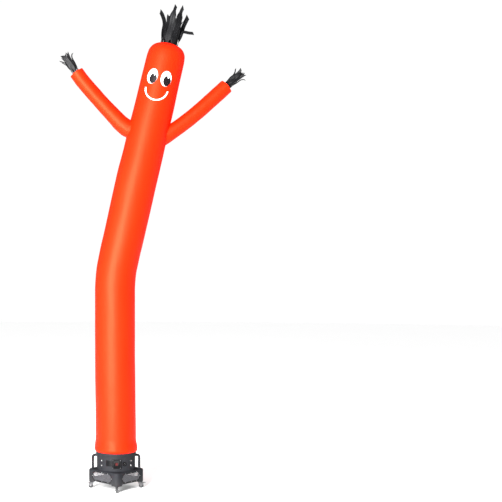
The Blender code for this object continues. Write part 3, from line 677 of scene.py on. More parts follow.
# %% Carry a ribbon along its bent middle
SPINE_STEPS = 60
EARLY_TWIST = 0.45
CROOK_SPAN = 0.2
TAPER_START, TAPER_SPAN, TAPER_SHARE = 0.7, 0.12, 0.48
NOTCH_DEPTH, SLANT_DEPTH = 0.1, 0.09
WAVE, CREASE, SWAY = 0.16, 0.1, 0.06
ROOT_FADE = 0.03


def ribbon_spine(length, root_lean, tip_lean, bend_start, span):
    """Outward and up offsets, and the lean, along a bent ribbon."""
    outward, up, step = 0.0, 0.0, length / SPINE_STEPS
    rows = [(outward, up, radians(root_lean))]
    for index in range(SPINE_STEPS):
        bent = min(1.0, max(0.0, ((index + 0.5) / SPINE_STEPS - bend_start) / span))
        lean = radians(root_lean + (tip_lean - root_lean) * bent)
        outward, up = outward + step * sin(lean), up + step * cos(lean)
        rows.append((outward, up, lean))
    return rows


def ribbon_carrier(row, radius, root, foot, place, seed):
    """The function that carries one ribbon's flat cut along its spine."""
    azimuth, width, length, root_lean, tip_lean, bend_start, twist, cut = row
    span = CROOK_SPAN if cut == "crook" else 1.0 - bend_start
    spine = ribbon_spine(length, root_lean, tip_lean, bend_start, span)
    azimuth = radians(azimuth)
    outward = Vector((cos(azimuth), sin(azimuth), 0.0))
    sideways = Vector((-sin(azimuth), cos(azimuth), 0.0))
    top = Vector((0.0, 0.0, 1.0))

    def carry(across, along):
        share = max(0.0, along) / length
        if cut == "notch":
            share *= 1.0 - NOTCH_DEPTH * (1.0 - 2 * abs(across) / width) * share**6
        else:
            share *= 1.0 - SLANT_DEPTH * (0.5 + across / width) * share**6
        index = min(len(spine) - 1.001, share * (len(spine) - 1))
        low, high = spine[int(index)], spine[int(index) + 1]
        mix = index - int(index)
        out, up, lean = (a + (b - a) * mix for a, b in zip(low, high))
        ahead = outward * sin(lean) + top * cos(lean)
        flat_normal = outward * cos(lean) - top * sin(lean)
        widen = min(1.0, max(0.0, along) / ROOT_FADE)
        half = across * (root / width + (1.0 - root / width) * widen)
        if cut == "taper":
            half *= 1.0 - TAPER_SHARE * min(1.0, max(0.0, share - TAPER_START) / TAPER_SPAN)
        twisted = min(1.0, share / EARLY_TWIST)
        spin = radians(twist) * twisted**2 * (3.0 - 2.0 * twisted)
        wave = WAVE * width * share * sin(11 * share + seed * 2.1)
        crease = CREASE * width * share * sin(2.6 * tau * across / width + seed)
        line = sideways * cos(spin) + flat_normal * sin(spin)
        sway = sideways * (SWAY * length * share**2 * sin(seed * 1.7))
        spot = outward * (radius + out) + top * (up + foot + min(0.0, along)) + sway
        return place @ (spot + line * half + line.cross(ahead) * (wave + crease * 0.5))

    return carry


print("ribbon carrier ready")

# %% Sew the bundles
RIBBON, TAPE_IN, TAPE_UP = 0.001, 0.0014, 0.002
CUT_SHARE = 0.97
HAND_RISE = 0.004


def ribbon_bundle(name, place, ring, root, rows, stands_for, steps):
    """A tape ring inside the vent with every ribbon of the bundle standing on it."""
    inner, outer, half = ring
    middle = (inner + outer) / 2
    bm = bmesh.new()

    def carry_tape(across, along):
        turn = across / middle
        return place @ Vector((middle * cos(turn), middle * sin(turn), along))

    lay_cloth(bm, np.linspace(0.0, tau * middle, 65), np.linspace(-half, half, 5), carry_tape)
    area = tau * middle * 2 * half
    for seed, row in enumerate(rows):
        width, length = row[1], row[2]
        carrier = ribbon_carrier(row, middle - TAPE_IN, root, half + TAPE_UP, place, seed)
        along = np.concatenate(([-half * 1.6], np.linspace(0.0, length, steps)))
        lay_cloth(bm, np.linspace(-width / 2, width / 2, 9), along, carrier)
        area += width * length * CUT_SHARE
    bmesh.ops.remove_doubles(bm, verts=bm.verts, dist=MEET)
    bundle = make_piece(name, bm, "black_ribbon", stands_for, 80)
    thicken(bundle, RIBBON, 0.0)
    wide, long = sum(row[1] for row in rows), max(row[2] for row in rows)
    min(area, wide * long * 0.999)


x, z, _ = along_head(DOME_SECTIONS[-1][0] - 0.002, 0.0)
hair_place = shift((x, 0.0, z)) @ Matrix.Rotation(HEAD_LEAN, 4, "Y")
ribbon_bundle("hair_ribbons", hair_place, HAIR_RING, HAIR_ROOT, HAIR_RIBBONS, "hair", 44)
for side, (x, z, lean) in arm_ends.items():
    spot = Vector((x + HAND_RISE * sin(lean), 0.0, z + HAND_RISE * cos(lean)))
    place, name = shift(spot) @ Matrix.Rotation(lean, 4, "Y"), f"{side}_hand_ribbons"
    ribbon_bundle(name, place, HAND_RING, HAND_ROOT, HAND_RIBBONS, f"{side}_streamers", 30)

# %% [markdown]
# ## The blower's own pieces
#
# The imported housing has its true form, but its edges are knife-sharp, as no moulding
# is. A copy of its mesh, merged and with flat faces joined again, takes a Bevel
# modifier that rounds every real edge, and so do plates, forks and levers. Round
# fittings are spun from a profile, which has round edges from the start.

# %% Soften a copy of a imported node
def softened(node, name, width, finish, angle, body=ROOT, segments=2, dress=None):
    """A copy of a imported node, with edges sharper than an angle rounded."""
    bm = bmesh.new()
    bm.from_mesh(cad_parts[node].data)
    bmesh.ops.remove_doubles(bm, verts=bm.verts, dist=MEET)
    bmesh.ops.dissolve_limit(bm, angle_limit=radians(1.0), verts=bm.verts, edges=bm.edges)
    piece = make_piece(name, bm, finish, node, 40, body, dress)
    edge = piece.modifiers.new("soft_edges", "BEVEL")
    edge.width = width
    edge.segments = segments
    edge.limit_method = "ANGLE"
    edge.angle_limit = radians(angle)
    edge.harden_normals = True
    edge.miter_outer = "MITER_ARC"


softened("housing", "housing_moulding", 0.0011, "moulded_plastic", 28)

# %% Helpers for spun and fitted pieces
def on_wall(azimuth, distance, height):
    """A frame on the drum or base that faces outward: X along it, Y up, Z out."""
    facing = Matrix(((0.0, 0.0, 1.0), (1.0, 0.0, 0.0), (0.0, 1.0, 0.0))).to_4x4()
    turn = turned(azimuth, "Z") @ shift((distance, 0.0, height))
    return shift((BLOWER_X, 0.0, 0.0)) @ turn @ facing


def spin_profile(bm, profile, steps, place, closed=False):
    """Spins radius and height pairs about Z into a closed skin."""
    before = set(bm.verts)
    verts = [bm.verts.new((radius, 0.0, height)) for radius, height in profile]
    edges = [bm.edges.new(pair) for pair in zip(verts, verts[1:])]
    if closed:
        edges.append(bm.edges.new((verts[-1], verts[0])))
    bmesh.ops.spin(
        bm, geom=verts + edges, cent=(0, 0, 0), axis=(0, 0, 1), angle=tau, steps=steps,
        use_merge=True, use_duplicate=False,
    )
    own = [vert for vert in bm.verts if vert not in before]
    bmesh.ops.remove_doubles(bm, verts=own, dist=CLOSE)
    own = [vert for vert in own if vert.is_valid]
    bmesh.ops.recalc_face_normals(bm, faces=list({face for vert in own for face in vert.link_faces}))
    bmesh.ops.transform(bm, matrix=place, verts=own)
    return own


def add_screw(bm, place, radius, height, steps):
    """A low domed screw head with a round drive recess, added to a bmesh."""
    dome = [(radius * cos(t), height * sin(t)) for t in (0.0, 0.45, 0.9, 1.2)]
    drive = radius * 0.3
    drive_floor = ((drive, height * 0.96), (drive * 0.8, height * 0.35), (0.0, height * 0.3))
    profile = [(0.0, -0.0006), (radius, -0.0006), *dome, *drive_floor]
    spin_profile(bm, profile, steps, place)


print("fitting helpers ready")

# %% [markdown]
# ## Mesh plates
#
# Each side of the base breathes through a plate of coated steel: a rim with round
# ends, held by eight small screws, and a field of square holes. The rim is a spun
# ring, pulled apart at its middle. The field is a grid whose cells are inset; their
# middles are taken out, and what is left, the wires, gets its thickness.

# %% Rims and wires
GRILLE_Z = 0.103
BASE_HALF = 0.1575
RIM_RADII = (0.03, 0.0364)
RIM_HALF_STRAIGHT = 0.0666
WIRE_PITCH = 0.0091
HOLE = 0.0062
MESH_CELLS = (23, 8)
WIRE_REACH = 0.0352
WIRE_THICK = 0.0012
WIRE_BACK = -0.0024


def add_rim(bm, place):
    """A round flat ring, pulled apart at its middle."""
    inner, outer = RIM_RADII
    profile = (
        (inner, -0.0018), (inner, 0.0002), (inner + 0.0006, 0.0008),
        (outer - 0.0006, 0.0008), (outer, 0.0002), (outer, -0.0018),
    )
    own = spin_profile(bm, profile, 72, Matrix(), closed=True)
    for vert in own:
        vert.co.x += copysign(RIM_HALF_STRAIGHT, vert.co.x + CLOSE)
    bmesh.ops.transform(bm, matrix=place, verts=own)


def beyond_straight(x):
    """How far a point lies past the straight part of the plate's sides."""
    return copysign(max(0.0, abs(x) - RIM_HALF_STRAIGHT), x)


def add_wires(bm, place):
    """The field of wires between square holes, drawn in under the rim."""
    columns, rows = MESH_CELLS
    made = bmesh.ops.create_grid(bm, x_segments=columns, y_segments=rows, size=0.5)
    bmesh.ops.scale(bm, vec=(columns * WIRE_PITCH, rows * WIRE_PITCH, 1.0), verts=made["verts"])
    outside = []
    for face in bm.faces:
        middle = face.calc_center_median()
        if hypot(beyond_straight(middle.x), middle.y) > RIM_RADII[1]:
            outside.append(face)
    bmesh.ops.delete(bm, geom=outside, context="FACES")
    for vert in bm.verts:
        past = Vector((beyond_straight(vert.co.x), vert.co.y))
        if past.length > WIRE_REACH:
            drawn = past.normalized() * WIRE_REACH
            vert.co.x += drawn.x - past.x
            vert.co.y = drawn.y
    cells = list(bm.faces)
    bmesh.ops.inset_individual(bm, faces=cells, thickness=(WIRE_PITCH - HOLE) / 2, depth=0.0)
    bmesh.ops.delete(bm, geom=cells, context="FACES_ONLY")
    bmesh.ops.solidify(bm, geom=bm.faces, thickness=WIRE_THICK)
    low = min(vert.co.z for vert in bm.verts)
    sunk = shift((0.0, 0.0, WIRE_BACK - low))
    bmesh.ops.transform(bm, matrix=place @ sunk, verts=bm.verts)


print("mesh cells", MESH_CELLS, "pitch", WIRE_PITCH)

# %% Fit the four plates
GRILLE_SCREW = (0.0023, 0.0011)
SCREW_ALONG = 0.062
rim_middle = sum(RIM_RADII) / 2
screw_spots = [(-RIM_HALF_STRAIGHT - rim_middle, 0.0), (RIM_HALF_STRAIGHT + rim_middle, 0.0)]
screw_spots += [(x, side * rim_middle) for side in (-1, 1) for x in (-SCREW_ALONG, 0.0, SCREW_ALONG)]
for index, azimuth in enumerate((45, 135, 225, 315)):
    place = on_wall(azimuth, BASE_HALF - 0.0002, GRILLE_Z)
    bm = bmesh.new()
    add_wires(bm, place)
    # The wires' grey coat is painted light: the real wires are black.
    make_piece(f"grille_mesh_{index}", bm, "black_metal", f"grille_{index}", dress="grille_painted_light_steel")
    bm = bmesh.new()
    add_rim(bm, place)
    make_piece(f"grille_rim_{index}", bm, "black_metal")
    bm = bmesh.new()
    for x, y in screw_spots:
        add_screw(bm, place @ shift((x, y, 0.0007)), *GRILLE_SCREW, 10)
    make_piece(f"grille_screws_{index}", bm, "zinc")

# %% [markdown]
# ## Handles
#
# Two bar handles rise from the base and bend in to the drum, moulded with a small
# flare at each end. A circle is extruded up, spun through the bend and extruded on,
# with its rings widened where it meets the housing.

# %% Sweep the handles
HANDLE_BAR = 0.01
HANDLE_OUT = 0.1785
HANDLE_BEND = 0.018
HANDLE_FOOT, HANDLE_TOP = 0.1503, 0.2535
HANDLE_END = 0.1479
FLARES = ((1.22, 0.0), (1.09, 0.0016), (1.02, 0.0042), (1.0, 0.008))


def grow(bm, edges, step, share):
    """Extrudes a ring by a step and widens it by a share about its middle."""
    made = bmesh.ops.extrude_edge_only(bm, edges=edges)["geom"]
    ring = [item for item in made if isinstance(item, bmesh.types.BMVert)]
    own = set(ring)
    bmesh.ops.translate(bm, vec=step, verts=ring)
    middle = sum((vert.co for vert in ring), Vector()) / len(ring)
    for vert in ring:
        vert.co = middle + (vert.co - middle) * share
    return [item for item in made if isinstance(item, bmesh.types.BMEdge) and set(item.verts) <= own]


for side, sign in (("right", 1), ("left", -1)):
    bm = bmesh.new()
    made = bmesh.ops.create_circle(bm, cap_ends=True, segments=28, radius=HANDLE_BAR * FLARES[0][0])
    bmesh.ops.translate(bm, vec=(HANDLE_OUT, 0.0, HANDLE_FOOT), verts=made["verts"])
    edges = list({edge for vert in made["verts"] for edge in vert.link_edges})
    for (wide, height), (next_wide, next_height) in zip(FLARES, FLARES[1:]):
        edges = grow(bm, edges, (0.0, 0.0, next_height - height), next_wide / wide)
    rise = HANDLE_TOP - HANDLE_BEND - HANDLE_FOOT - FLARES[-1][1]
    edges = grow(bm, edges, (0.0, 0.0, rise), 1.0)
    ring = list({vert for edge in edges for vert in edge.verts})
    bend = bmesh.ops.spin(
        bm, geom=ring + edges, cent=(HANDLE_OUT - HANDLE_BEND, 0.0, HANDLE_TOP - HANDLE_BEND),
        axis=(0, -1, 0), angle=radians(90.0), steps=10, use_merge=False, use_duplicate=False,
    )["geom_last"]
    edges = [item for item in bend if isinstance(item, bmesh.types.BMEdge)]
    inward = HANDLE_OUT - HANDLE_BEND - HANDLE_END - FLARES[-1][1]
    edges = grow(bm, edges, (-inward, 0.0, 0.0), 1.0)
    for (wide, height), (next_wide, next_height) in zip(FLARES[::-1], FLARES[-2::-1]):
        edges = grow(bm, edges, (next_height - height, 0.0, 0.0), next_wide / wide)
    bmesh.ops.edgeloop_fill(bm, edges=edges)
    bmesh.ops.remove_doubles(bm, verts=bm.verts, dist=CLOSE)
    place = shift((BLOWER_X, 0.0, 0.0)) @ Matrix.Diagonal((sign, 1.0, 1.0, 1.0))
    bmesh.ops.transform(bm, matrix=place, verts=bm.verts)
    bmesh.ops.recalc_face_normals(bm, faces=bm.faces)
    make_piece(f"{side}_handle_bar", bm, "moulded_plastic", f"handle_{side}", 50)

# %% [markdown]
# ## Switch, inlet and bolts
#
# A square plate screwed to the drum carries the red rocker switch, and beside it is
# the round inlet for the supply lead, with three pins deep inside. The plates keep
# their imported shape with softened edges; screws, pins and bolts are spun.

# %% Switch and inlet
PANEL_Z = 0.208
PLATE_FRONT = 0.154
PLATE_SCREW = (0.0034, 0.0016)
PLATE_SCREW_OUT = 0.0282
INLET_AZIMUTH = -66.8
INLET_BACK = 0.15
PIN_PLACES = ((-0.0046, -0.0026), (0.0046, -0.0026), (0.0, 0.005))

softened("switch_plate", "switch_plate_pressing", 0.0007, "black_metal", 50)
softened("rocker", "rocker_key", 0.0009, "red_switch", 20, "rocker", 3)
softened("power_inlet", "power_inlet_socket", 0.0006, "black_metal", 50)

bm = bmesh.new()
for across in (-PLATE_SCREW_OUT, PLATE_SCREW_OUT):
    for up in (-PLATE_SCREW_OUT, PLATE_SCREW_OUT):
        place = on_wall(-90.0, PLATE_FRONT, PANEL_Z) @ shift((across, up, 0.0))
        add_screw(bm, place, *PLATE_SCREW, 18)
# These screws take the darker copy of the plating, which is painted shade.
make_piece("switch_plate_screws", bm, "zinc", dress="caster_steel")

bm = bmesh.new()
pin = ((0.0, -0.0004), (0.0012, -0.0004), (0.0012, 0.0022), (0.0008, 0.0028), (0.0, 0.0029))
for across, up in PIN_PLACES:
    place = on_wall(INLET_AZIMUTH, INLET_BACK, PANEL_Z) @ shift((across, up, 0.0))
    spin_profile(bm, pin, 16, place)
make_piece("inlet_pins", bm, "zinc")

# %% Backs of the two slots below the bolts
SLOT_BACK = (0.028, 0.013, 0.0016)
SLOT_PLACE = (0.1412, 0.166)
bm = bmesh.new()
for azimuth in (-139.6, -40.4):
    place = on_wall(azimuth, *SLOT_PLACE) @ Matrix.Diagonal((*SLOT_BACK, 1.0))
    bmesh.ops.create_cube(bm, size=1.0, matrix=place)
bmesh.ops.bevel(bm, geom=bm.edges, offset=0.0004, segments=2, profile=0.5, affect="EDGES", material=-1)
make_piece("slot_backs", bm, "moulded_plastic")

# %% Bolts on the drum
BOLT_HEAD = (0.005, 0.003)
BOLT_AZIMUTH = 49.6
BOLT_SPREAD = 0.018
BOLT_SEAT = 0.1478
for index in range(4):
    side, row = (-1, 1)[index // 2], (-1, 1)[index % 2]
    bm = bmesh.new()
    place = on_wall(-90.0 + side * BOLT_AZIMUTH, BOLT_SEAT, PANEL_Z + row * BOLT_SPREAD)
    add_screw(bm, place, *BOLT_HEAD, 28)
    make_piece(f"bolt_head_{index}", bm, "zinc", f"bolt_{index}")

# %% [markdown]
# ## Outlet and band
#
# On top of the neck sits the outlet ring with its finger guard, a set of fine rings
# on spokes, all hidden by the cloth. The hem is held by a ribbed band that goes once
# round the neck and laps over itself.

# %% Guard rings and ring screws
GUARD_Z = 0.336
GUARD_RADII = (0.03, 0.041, 0.052, 0.073, 0.083, 0.093, 0.115, 0.125, 0.135)
GUARD_WIRE = 0.0011
RING_SCREWS = 6
RING_SCREW_OUT = 0.1505
RING_SCREW = (0.003, 0.0012)
RING_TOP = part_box("outlet_ring")[1].z

softened("outlet_ring", "outlet_ring_moulding", 0.0008, "moulded_plastic", 35)
bm = bmesh.new()
for radius in GUARD_RADII:
    wire = [
        (radius + GUARD_WIRE * cos(t), GUARD_Z + GUARD_WIRE * sin(t))
        for t in np.linspace(0.0, tau, 8, endpoint=False)
    ]
    spin_profile(bm, wire, 72, shift((BLOWER_X, 0.0, 0.0)), closed=True)
make_piece("outlet_guard_wires", bm, "moulded_plastic", smooth=60)

bm = bmesh.new()
for index in range(RING_SCREWS):
    turn = tau * (index + 0.5) / RING_SCREWS
    spot = (BLOWER_X + RING_SCREW_OUT * cos(turn), RING_SCREW_OUT * sin(turn), RING_TOP - 0.0003)
    add_screw(bm, shift(spot), *RING_SCREW, 14)
make_piece("outlet_ring_screws", bm, "zinc")

# %% The lapped band
BAND_OUT = 0.1508
BAND_LOW, BAND_WIDE = 0.2854, 0.0368
BAND_LAP = 0.03
BAND_RIB, RIB_HIGH = 0.003, 0.00016
LAP_RAMP, LAP_RISE = 0.004, 0.0013


def carry_band(across, along):
    """Lays the band round the neck, lapped over itself near the switch."""
    lapped = max(0.0, along - (tau * BAND_OUT - LAP_RAMP)) / LAP_RAMP
    radius = BAND_OUT + LAP_RISE * min(1.0, lapped)
    radius += RIB_HIGH * cos(tau * along / BAND_RIB)
    turn = radians(-80.0) + along / BAND_OUT
    return Vector((BLOWER_X + radius * cos(turn), radius * sin(turn), BAND_LOW + across))


band_round = tau * BAND_OUT + BAND_LAP
bm = bmesh.new()
lay_cloth(bm, np.linspace(0.0, BAND_WIDE, 12), np.linspace(0.0, band_round, 1640), carry_band)
bmesh.ops.reverse_faces(bm, faces=bm.faces)
band = make_piece("neck_band", bm, "band_webbing", "fastening_band", 60)
thicken(band, 0.0011)

# %% [markdown]
# ## Casters
#
# Under each corner of the base is a swivel caster. Its fork, plate and brake lever
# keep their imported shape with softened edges. The wheel is a profile spun once round:
# a hub with a recess, then the tread with rounded shoulders. Wheel, fork and lever
# ride on bodies of their own, because each moves by itself.

# %% Wheels, forks, levers and axle nuts
CASTER_OUT = 0.182
WHEEL_OUT = 0.194
AXLE_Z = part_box("caster_wheel_0")[1].z / 2
WHEEL_PROFILE = (
    (0.0032, 0.0066), (0.0074, 0.0066), (0.0082, 0.0058), (0.0086, 0.0044), (0.0132, 0.0042),
    (0.014, 0.0052), (0.0144, 0.0066), (0.0162, 0.007), (0.0178, 0.0067),
    (AXLE_Z - 0.0002, 0.0056), (AXLE_Z, 0.0044),
)
NUT_SEAT = 0.0106
NUT = (
    (0.0, 0.0), (0.0046, 0.0), (0.0046, 0.0014), (0.0038, 0.0018),
    (0.0026, 0.0018), (0.0022, 0.0026), (0.0, 0.0028),
)
RACE = (
    (0.0092, 0.0429), (0.0124, 0.0429), (0.0134, 0.0438),
    (0.0134, 0.0453), (0.0124, 0.0463), (0.0092, 0.0463),
)

for index, azimuth in enumerate((-90.0, 0.0, 90.0, 180.0)):
    swivel = f"caster_{index}_swivel"
    corner = shift((BLOWER_X, 0.0, 0.0)) @ turned(azimuth, "Z")
    axle = corner @ shift((WHEEL_OUT, 0.0, AXLE_Z)) @ turned(90.0, "X")
    mirrored = [(radius, -side) for radius, side in reversed(WHEEL_PROFILE)]
    bm = bmesh.new()
    spin_profile(bm, [*WHEEL_PROFILE, *mirrored], 64, axle, closed=True)
    name, node = f"caster_wheel_tread_{index}", f"caster_wheel_{index}"
    make_piece(name, bm, "grey_wheel", node, 40, f"caster_{index}_wheel")
    bm = bmesh.new()
    for side in (0.0, 180.0):
        spin_profile(bm, NUT, 6, axle @ turned(side, "X") @ shift((0.0, 0.0, NUT_SEAT)))
    spin_profile(bm, RACE, 36, corner @ shift((CASTER_OUT, 0.0, 0.0)), closed=True)
    # Hardware, forks, plates and levers take the darker copy of the plating, which is painted shade.
    make_piece(f"caster_hardware_{index}", bm, "zinc", body=swivel, dress="caster_steel")
    for part, name, width, body, angle in (
        ("fork", "fork_pressing", 0.0005, swivel, 35),
        ("brake", "brake_lever", 0.0004, f"caster_{index}_brake", 50),
        ("plate", "top_plate", 0.0005, ROOT, 50),
    ):
        node = f"caster_{part}_{index}"
        softened(node, f"caster_{name}_{index}", width, "zinc", angle, body, dress="caster_steel")

# %% [markdown]
# ## Finish: orange nylon
#
# The cloth is a light nylon with a woven grid of stronger threads against tearing.
# From a few metres it is one bright orange with a soft shine; close to, the grid, the
# stitched hems and an uneven dye show. Weave and stitches read the flat cut, the dye
# reads the place on the object.

# %% Threads, stitches and hems
STITCH = 0.0042
HEM_ROWS = (0.0045, 0.012)
HEM_FOLD = (0.0, 0.014, 0.001)


def threads(wire, pitch, half, soft):
    """Lines at every pitch of a wire, one on each line."""
    return band_mask(wire.math("FRACT", wire / pitch), 0.5, half, soft)


def stitches(edge, along, distance):
    """A row of stitches at this distance from an edge."""
    return band_mask(edge, distance, 0.0005, 0.0004) * threads(along, STITCH, 0.3, 0.1)


def hems(start):
    """Stitch rows along every edge, and the double cloth below them."""
    across, along = flat_cut(start)
    raw = start.node("ShaderNodeUVMap", {"uv_map": "edge_cut"})
    side, end = axis(raw, "X"), axis(raw, "Y")
    rows = stitches(side, along, HEM_ROWS[0]) + stitches(end, across, HEM_ROWS[0])
    rows = rows + stitches(side, along, HEM_ROWS[1]) + stitches(end, across, HEM_ROWS[1])
    fold = band_mask(side, *HEM_FOLD) + band_mask(end, *HEM_FOLD)
    return rows.math("MINIMUM", rows, 1.0), fold.math("MINIMUM", fold, 1.0)


print("stitch rows", HEM_ROWS, "m from each hem")

# %% Cloth finishes
GRID_PITCH = 0.0065


def orange_nylon():
    """Bright coated nylon with a tear-stop grid and stitched hems."""
    start, place = start_finish("orange_nylon", "orange_nylon_cloth")
    across, along = flat_cut(start)
    rows, fold = hems(start)
    cloud, fine = speckle(place, 2.6, 2.0), speckle(place, 420.0, 2.0)
    grid = threads(across, GRID_PITCH, 0.04, 0.05)
    grid = grid.math("MAXIMUM", grid, threads(along, GRID_PITCH, 0.04, 0.05))
    dye = blend(cloud, (0.88, 0.0074, 0.0001), (0.94, 0.0092, 0.0001))
    dye = blend(grid * 0.25, dye, (0.95, 0.018, 0.001))
    dye = blend(rows * 0.55, dye, (0.5, 0.012, 0.001))
    slack = speckle(object_place(start, (6.0, 6.0, 2.2)), 1.3, 3.0)
    relief = slack * 0.003 + grid * 0.00006 + fine * 0.00004 + rows * 0.0003 + fold * 0.0004
    roughness, tint = 0.44 + cloud * 0.06 + fine * 0.05, (1.0, 1.0, 0.5, 1.0)
    set_shader(dye, roughness, relief, Specular_IOR_Level=0.125, Specular_Tint=tint)


def patch_cloth(slot, low, high, thread, roughness, seam=0.0026):
    """A sewn patch: plain weave and a close stitched edge."""
    start, place = start_finish(slot, f"{slot}_cloth")
    across, inward = flat_cut(start)
    cloud, fine = speckle(place, 30.0, 3.0), speckle(place, 500.0, 2.0)
    edge = band_mask(inward, 0.0, seam, 0.0006)
    ridge = edge * threads(across, 0.0012, 0.2, 0.3)
    dye = blend(edge * 0.7, blend(cloud, low, high), thread)
    relief = edge * 0.0005 + ridge * 0.0003 + fine * 0.00006
    set_shader(dye, roughness + cloud * 0.08, relief, Specular_IOR_Level=0.12)


def black_ribbon():
    """Thin black nylon that shines where it creases."""
    start, place = start_finish("black_ribbon", "black_ribbon_cloth")
    along = flat_cut(start)[1]
    crease = speckle(object_place(start, (60.0, 60.0, 9.0)), 1.0, 4.0)
    dye = blend(crease, (0.002, 0.002, 0.0022), (0.008, 0.008, 0.009))
    rib, fine = threads(along, 0.0016, 0.2, 0.3), speckle(place, 600.0, 1.0)
    relief = crease * 0.0022 + rib * 0.00005 + fine * 0.00005
    set_shader(dye, 0.36 + crease * 0.2, relief, Specular_IOR_Level=0.12)


WHITE = ((0.8, 0.8, 0.79), (0.9, 0.9, 0.89))
DARK = ((0.0035, 0.0022, 0.0028), (0.008, 0.0056, 0.0066))
orange_nylon()
patch_cloth("white_patch", *WHITE, (0.55, 0.54, 0.53), 0.5)
patch_cloth("eye_patch", *WHITE, (0.06, 0.04, 0.036), 0.5, 0.004)
patch_cloth("dark_patch", *DARK, (0.008, 0.006, 0.007), 0.42)
black_ribbon()
print("cloth finishes", sorted(FINISHES))

# %% [markdown]
# ## Finishes of the blower
#
# The housing is moulded black plastic with a fine grain that scatters light, so it
# reads as dark grey, with a few rubbed spots and some dust low down. The mesh plates
# are powder-coated steel, their wires drawn lighter grey as painted light. The forks
# are plated, in a darker copy of the bright plating that is painted shade, and the
# wheels are dark rubber. A plain rectangle beside the switch is smoother and darker
# than the grain around it.

# %% The housing's plastic
BLANK_PLACE = (-0.058 + BLOWER_X, 0.212)
BLANK_HALF = (0.0215, 0.022)
BLANK_SOFT = 0.0008


def moulded_plastic():
    """Grained black moulding with dust low down and a smooth blank rectangle."""
    start, place = start_finish("moulded_plastic", "moulded_black_plastic")
    raw = start.node("ShaderNodeTexCoord", output="Object")
    x, y, z = (axis(raw, letter) for letter in "XYZ")
    grain, cloud = speckle(place, 700.0, 2.0), speckle(place, 14.0, 4.0)
    scuff = speckle(object_place(start, (40.0, 40.0, 160.0)), 1.0, 5.0)
    blank = band_mask(x, BLANK_PLACE[0], BLANK_HALF[0], BLANK_SOFT)
    blank = blank * band_mask(z, BLANK_PLACE[1], BLANK_HALF[1], BLANK_SOFT) * (y < -0.02)
    dust, worn = band_mask(z, 0.05, 0.008, 0.06) * cloud, (scuff > 0.68) * 0.25
    dye = blend(cloud, (0.0075, 0.0078, 0.0094), (0.014, 0.0145, 0.0172))
    dye = blend(dust * 0.35, dye, (0.05, 0.049, 0.047))
    dye = blend(worn, dye, (0.06, 0.061, 0.064))
    dye = blend(blank, dye, (0.0012, 0.0012, 0.0018))
    roughness = 0.56 + grain * 0.12 - blank * 0.3 - worn * 0.3
    relief = grain * (1.0 - blank) * 0.00022 + cloud * 0.0004 + blank * 0.0003
    set_shader(dye, roughness, relief, Specular_IOR_Level=0.1)


moulded_plastic()
print("blank place", BLANK_PLACE)

# %% Coated and plated steel
BLACK_COAT = ((0.0016, 0.0016, 0.0018), (0.0045, 0.0045, 0.005))
# The grey coat of the grille wires is painted light: the wires are black, drawn lighter grey.
PAINTED_LIGHT_COAT = ((0.05, 0.05, 0.056), (0.085, 0.085, 0.094))


def coated_steel(slot, name, low, high, shine):
    """Powder coat with a slight orange-peel and a few bright rubs."""
    start, place = start_finish(slot, name)
    peel, cloud = speckle(place, 260.0, 2.0), speckle(place, 22.0, 4.0)
    rub = (speckle(place, 90.0, 5.0) > 0.7) * 0.5
    dye = blend(rub, blend(cloud, low, high), (0.12, 0.12, 0.12))
    set_shader(dye, 0.34 + peel * 0.16, peel * 0.00025, Specular_IOR_Level=shine)
    feed(rub, "Metallic")


def plated_zinc(slot, name, bright, dim):
    """Plating with fine brush lines and dull spots."""
    start, place = start_finish(slot, name)
    brush = speckle(object_place(start, (900.0, 900.0, 60.0)), 1.0, 2.0)
    dull = speckle(place, 120.0, 4.0)
    roughness = 0.16 + brush * 0.1 + dull * 0.16
    set_shader(blend(dull, bright, dim), roughness, brush * 0.00006, Metallic=1.0)


plated_zinc("zinc", "bright_plating", (0.72, 0.72, 0.72), (0.5, 0.5, 0.5))
# The second plating is the bright plating drawn darker: painted shade.
plated_zinc("caster_steel", "caster_plating", (0.17, 0.17, 0.175), (0.09, 0.09, 0.095))
coated_steel("black_metal", "black_coated_steel", *BLACK_COAT, 0.08)
# The grille's grey coat is painted light.
coated_steel("grille_painted_light_steel", "grille_steel_painted_light", *PAINTED_LIGHT_COAT, 0.5)
print("steel finishes", 4)

# %% Rubber, webbing and the red rocker
def dark_rubber():
    """Dark wheel rubber with floor dust worked into it."""
    start, place = start_finish("grey_wheel", "grey_wheel_rubber")
    grit, cloud = speckle(place, 380.0, 3.0), speckle(place, 60.0, 4.0)
    dye = blend(cloud, (0.01, 0.01, 0.011), (0.028, 0.029, 0.03))
    dye = blend((grit > 0.66) * 0.4, dye, (0.08, 0.078, 0.076))
    set_shader(dye, 0.55 + grit * 0.2, grit * 0.0003)


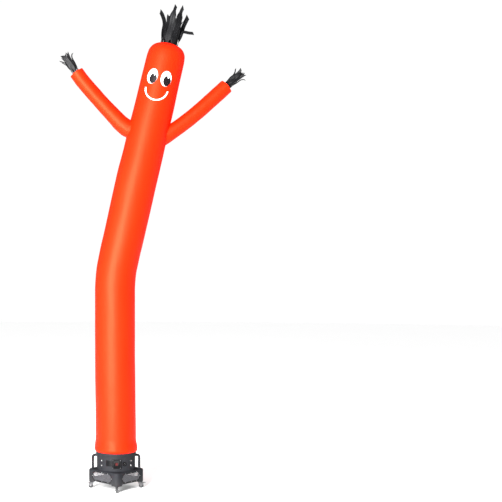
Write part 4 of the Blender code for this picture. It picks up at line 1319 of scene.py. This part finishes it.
def webbing():
    """Dark navy webbing with ribs across it."""
    start, place = start_finish("band_webbing", "dark_band_webbing")
    fuzz, rib = speckle(place, 800.0, 2.0), threads(flat_cut(start)[1], 0.003, 0.25, 0.2)
    dye = blend(rib, (0.004, 0.006, 0.018), (0.016, 0.02, 0.048))
    set_shader(dye, 0.7 + fuzz * 0.15, rib * 0.0006 + fuzz * 0.0002)


def red_rocker():
    """Clear red plastic with finger marks and a faint painted glow."""
    start, place = start_finish("red_switch", "red_rocker_plastic")
    smear = speckle(place, 160.0, 4.0)
    dye = blend(smear, (0.03, 0.001, 0.001), (0.055, 0.001, 0.001))
    # The emission colour and strength paint a faint red glow on the rocker.
    painted_glow = blend(smear, (0.6, 0.02, 0.01), (0.9, 0.05, 0.02))
    roughness, relief = 0.34 + smear * 0.16, smear * 0.0001
    set_shader(dye, roughness, relief, Specular_IOR_Level=0.15, Emission_Strength=0.02)
    feed(painted_glow, "Emission Color")


dark_rubber()
webbing()
red_rocker()
print("all finishes", len(FINISHES))

# %% Dress every piece and every node that still shows
for name, finish in FINISH_OF.items():
    bpy.data.objects[name].data.materials.clear()
    bpy.data.objects[name].data.materials.append(FINISHES[finish])
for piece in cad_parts.values():
    for material_slot in piece.material_slots:
        material_slot.material = FINISHES[material_slot.material.name.split(".")[0]]
print("dressed", len(FINISH_OF), "pieces and", len(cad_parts), "nodes")

# %% [markdown]
# ## The floor
#
# The blower stands on a plain pale floor, wide enough that no edge shows.

# %% Floor
FLOOR_RADIUS = 30.0
bm = bmesh.new()
bmesh.ops.create_circle(bm, cap_ends=True, segments=96, radius=FLOOR_RADIUS)
floor_mesh = bpy.data.meshes.new("pale_floor")
bm.to_mesh(floor_mesh)
bm.free()
_, place = start_finish("floor", "pale_floor_paint")
feed(blend(speckle(place, 0.7), (0.985, 0.985, 0.985), (1.0, 1.0, 1.0)), "Base Color")
paint = FINISHES["floor"].node_tree.nodes["Principled BSDF"].inputs
paint["Roughness"].default_value, paint["Specular IOR Level"].default_value = 0.9, 0.1
floor_mesh.materials.append(FINISHES["floor"])
pale_floor = bpy.data.objects.new("pale_floor", floor_mesh)
scene.collection.objects.link(pale_floor)
print("floor", 2 * FLOOR_RADIUS, "m across")
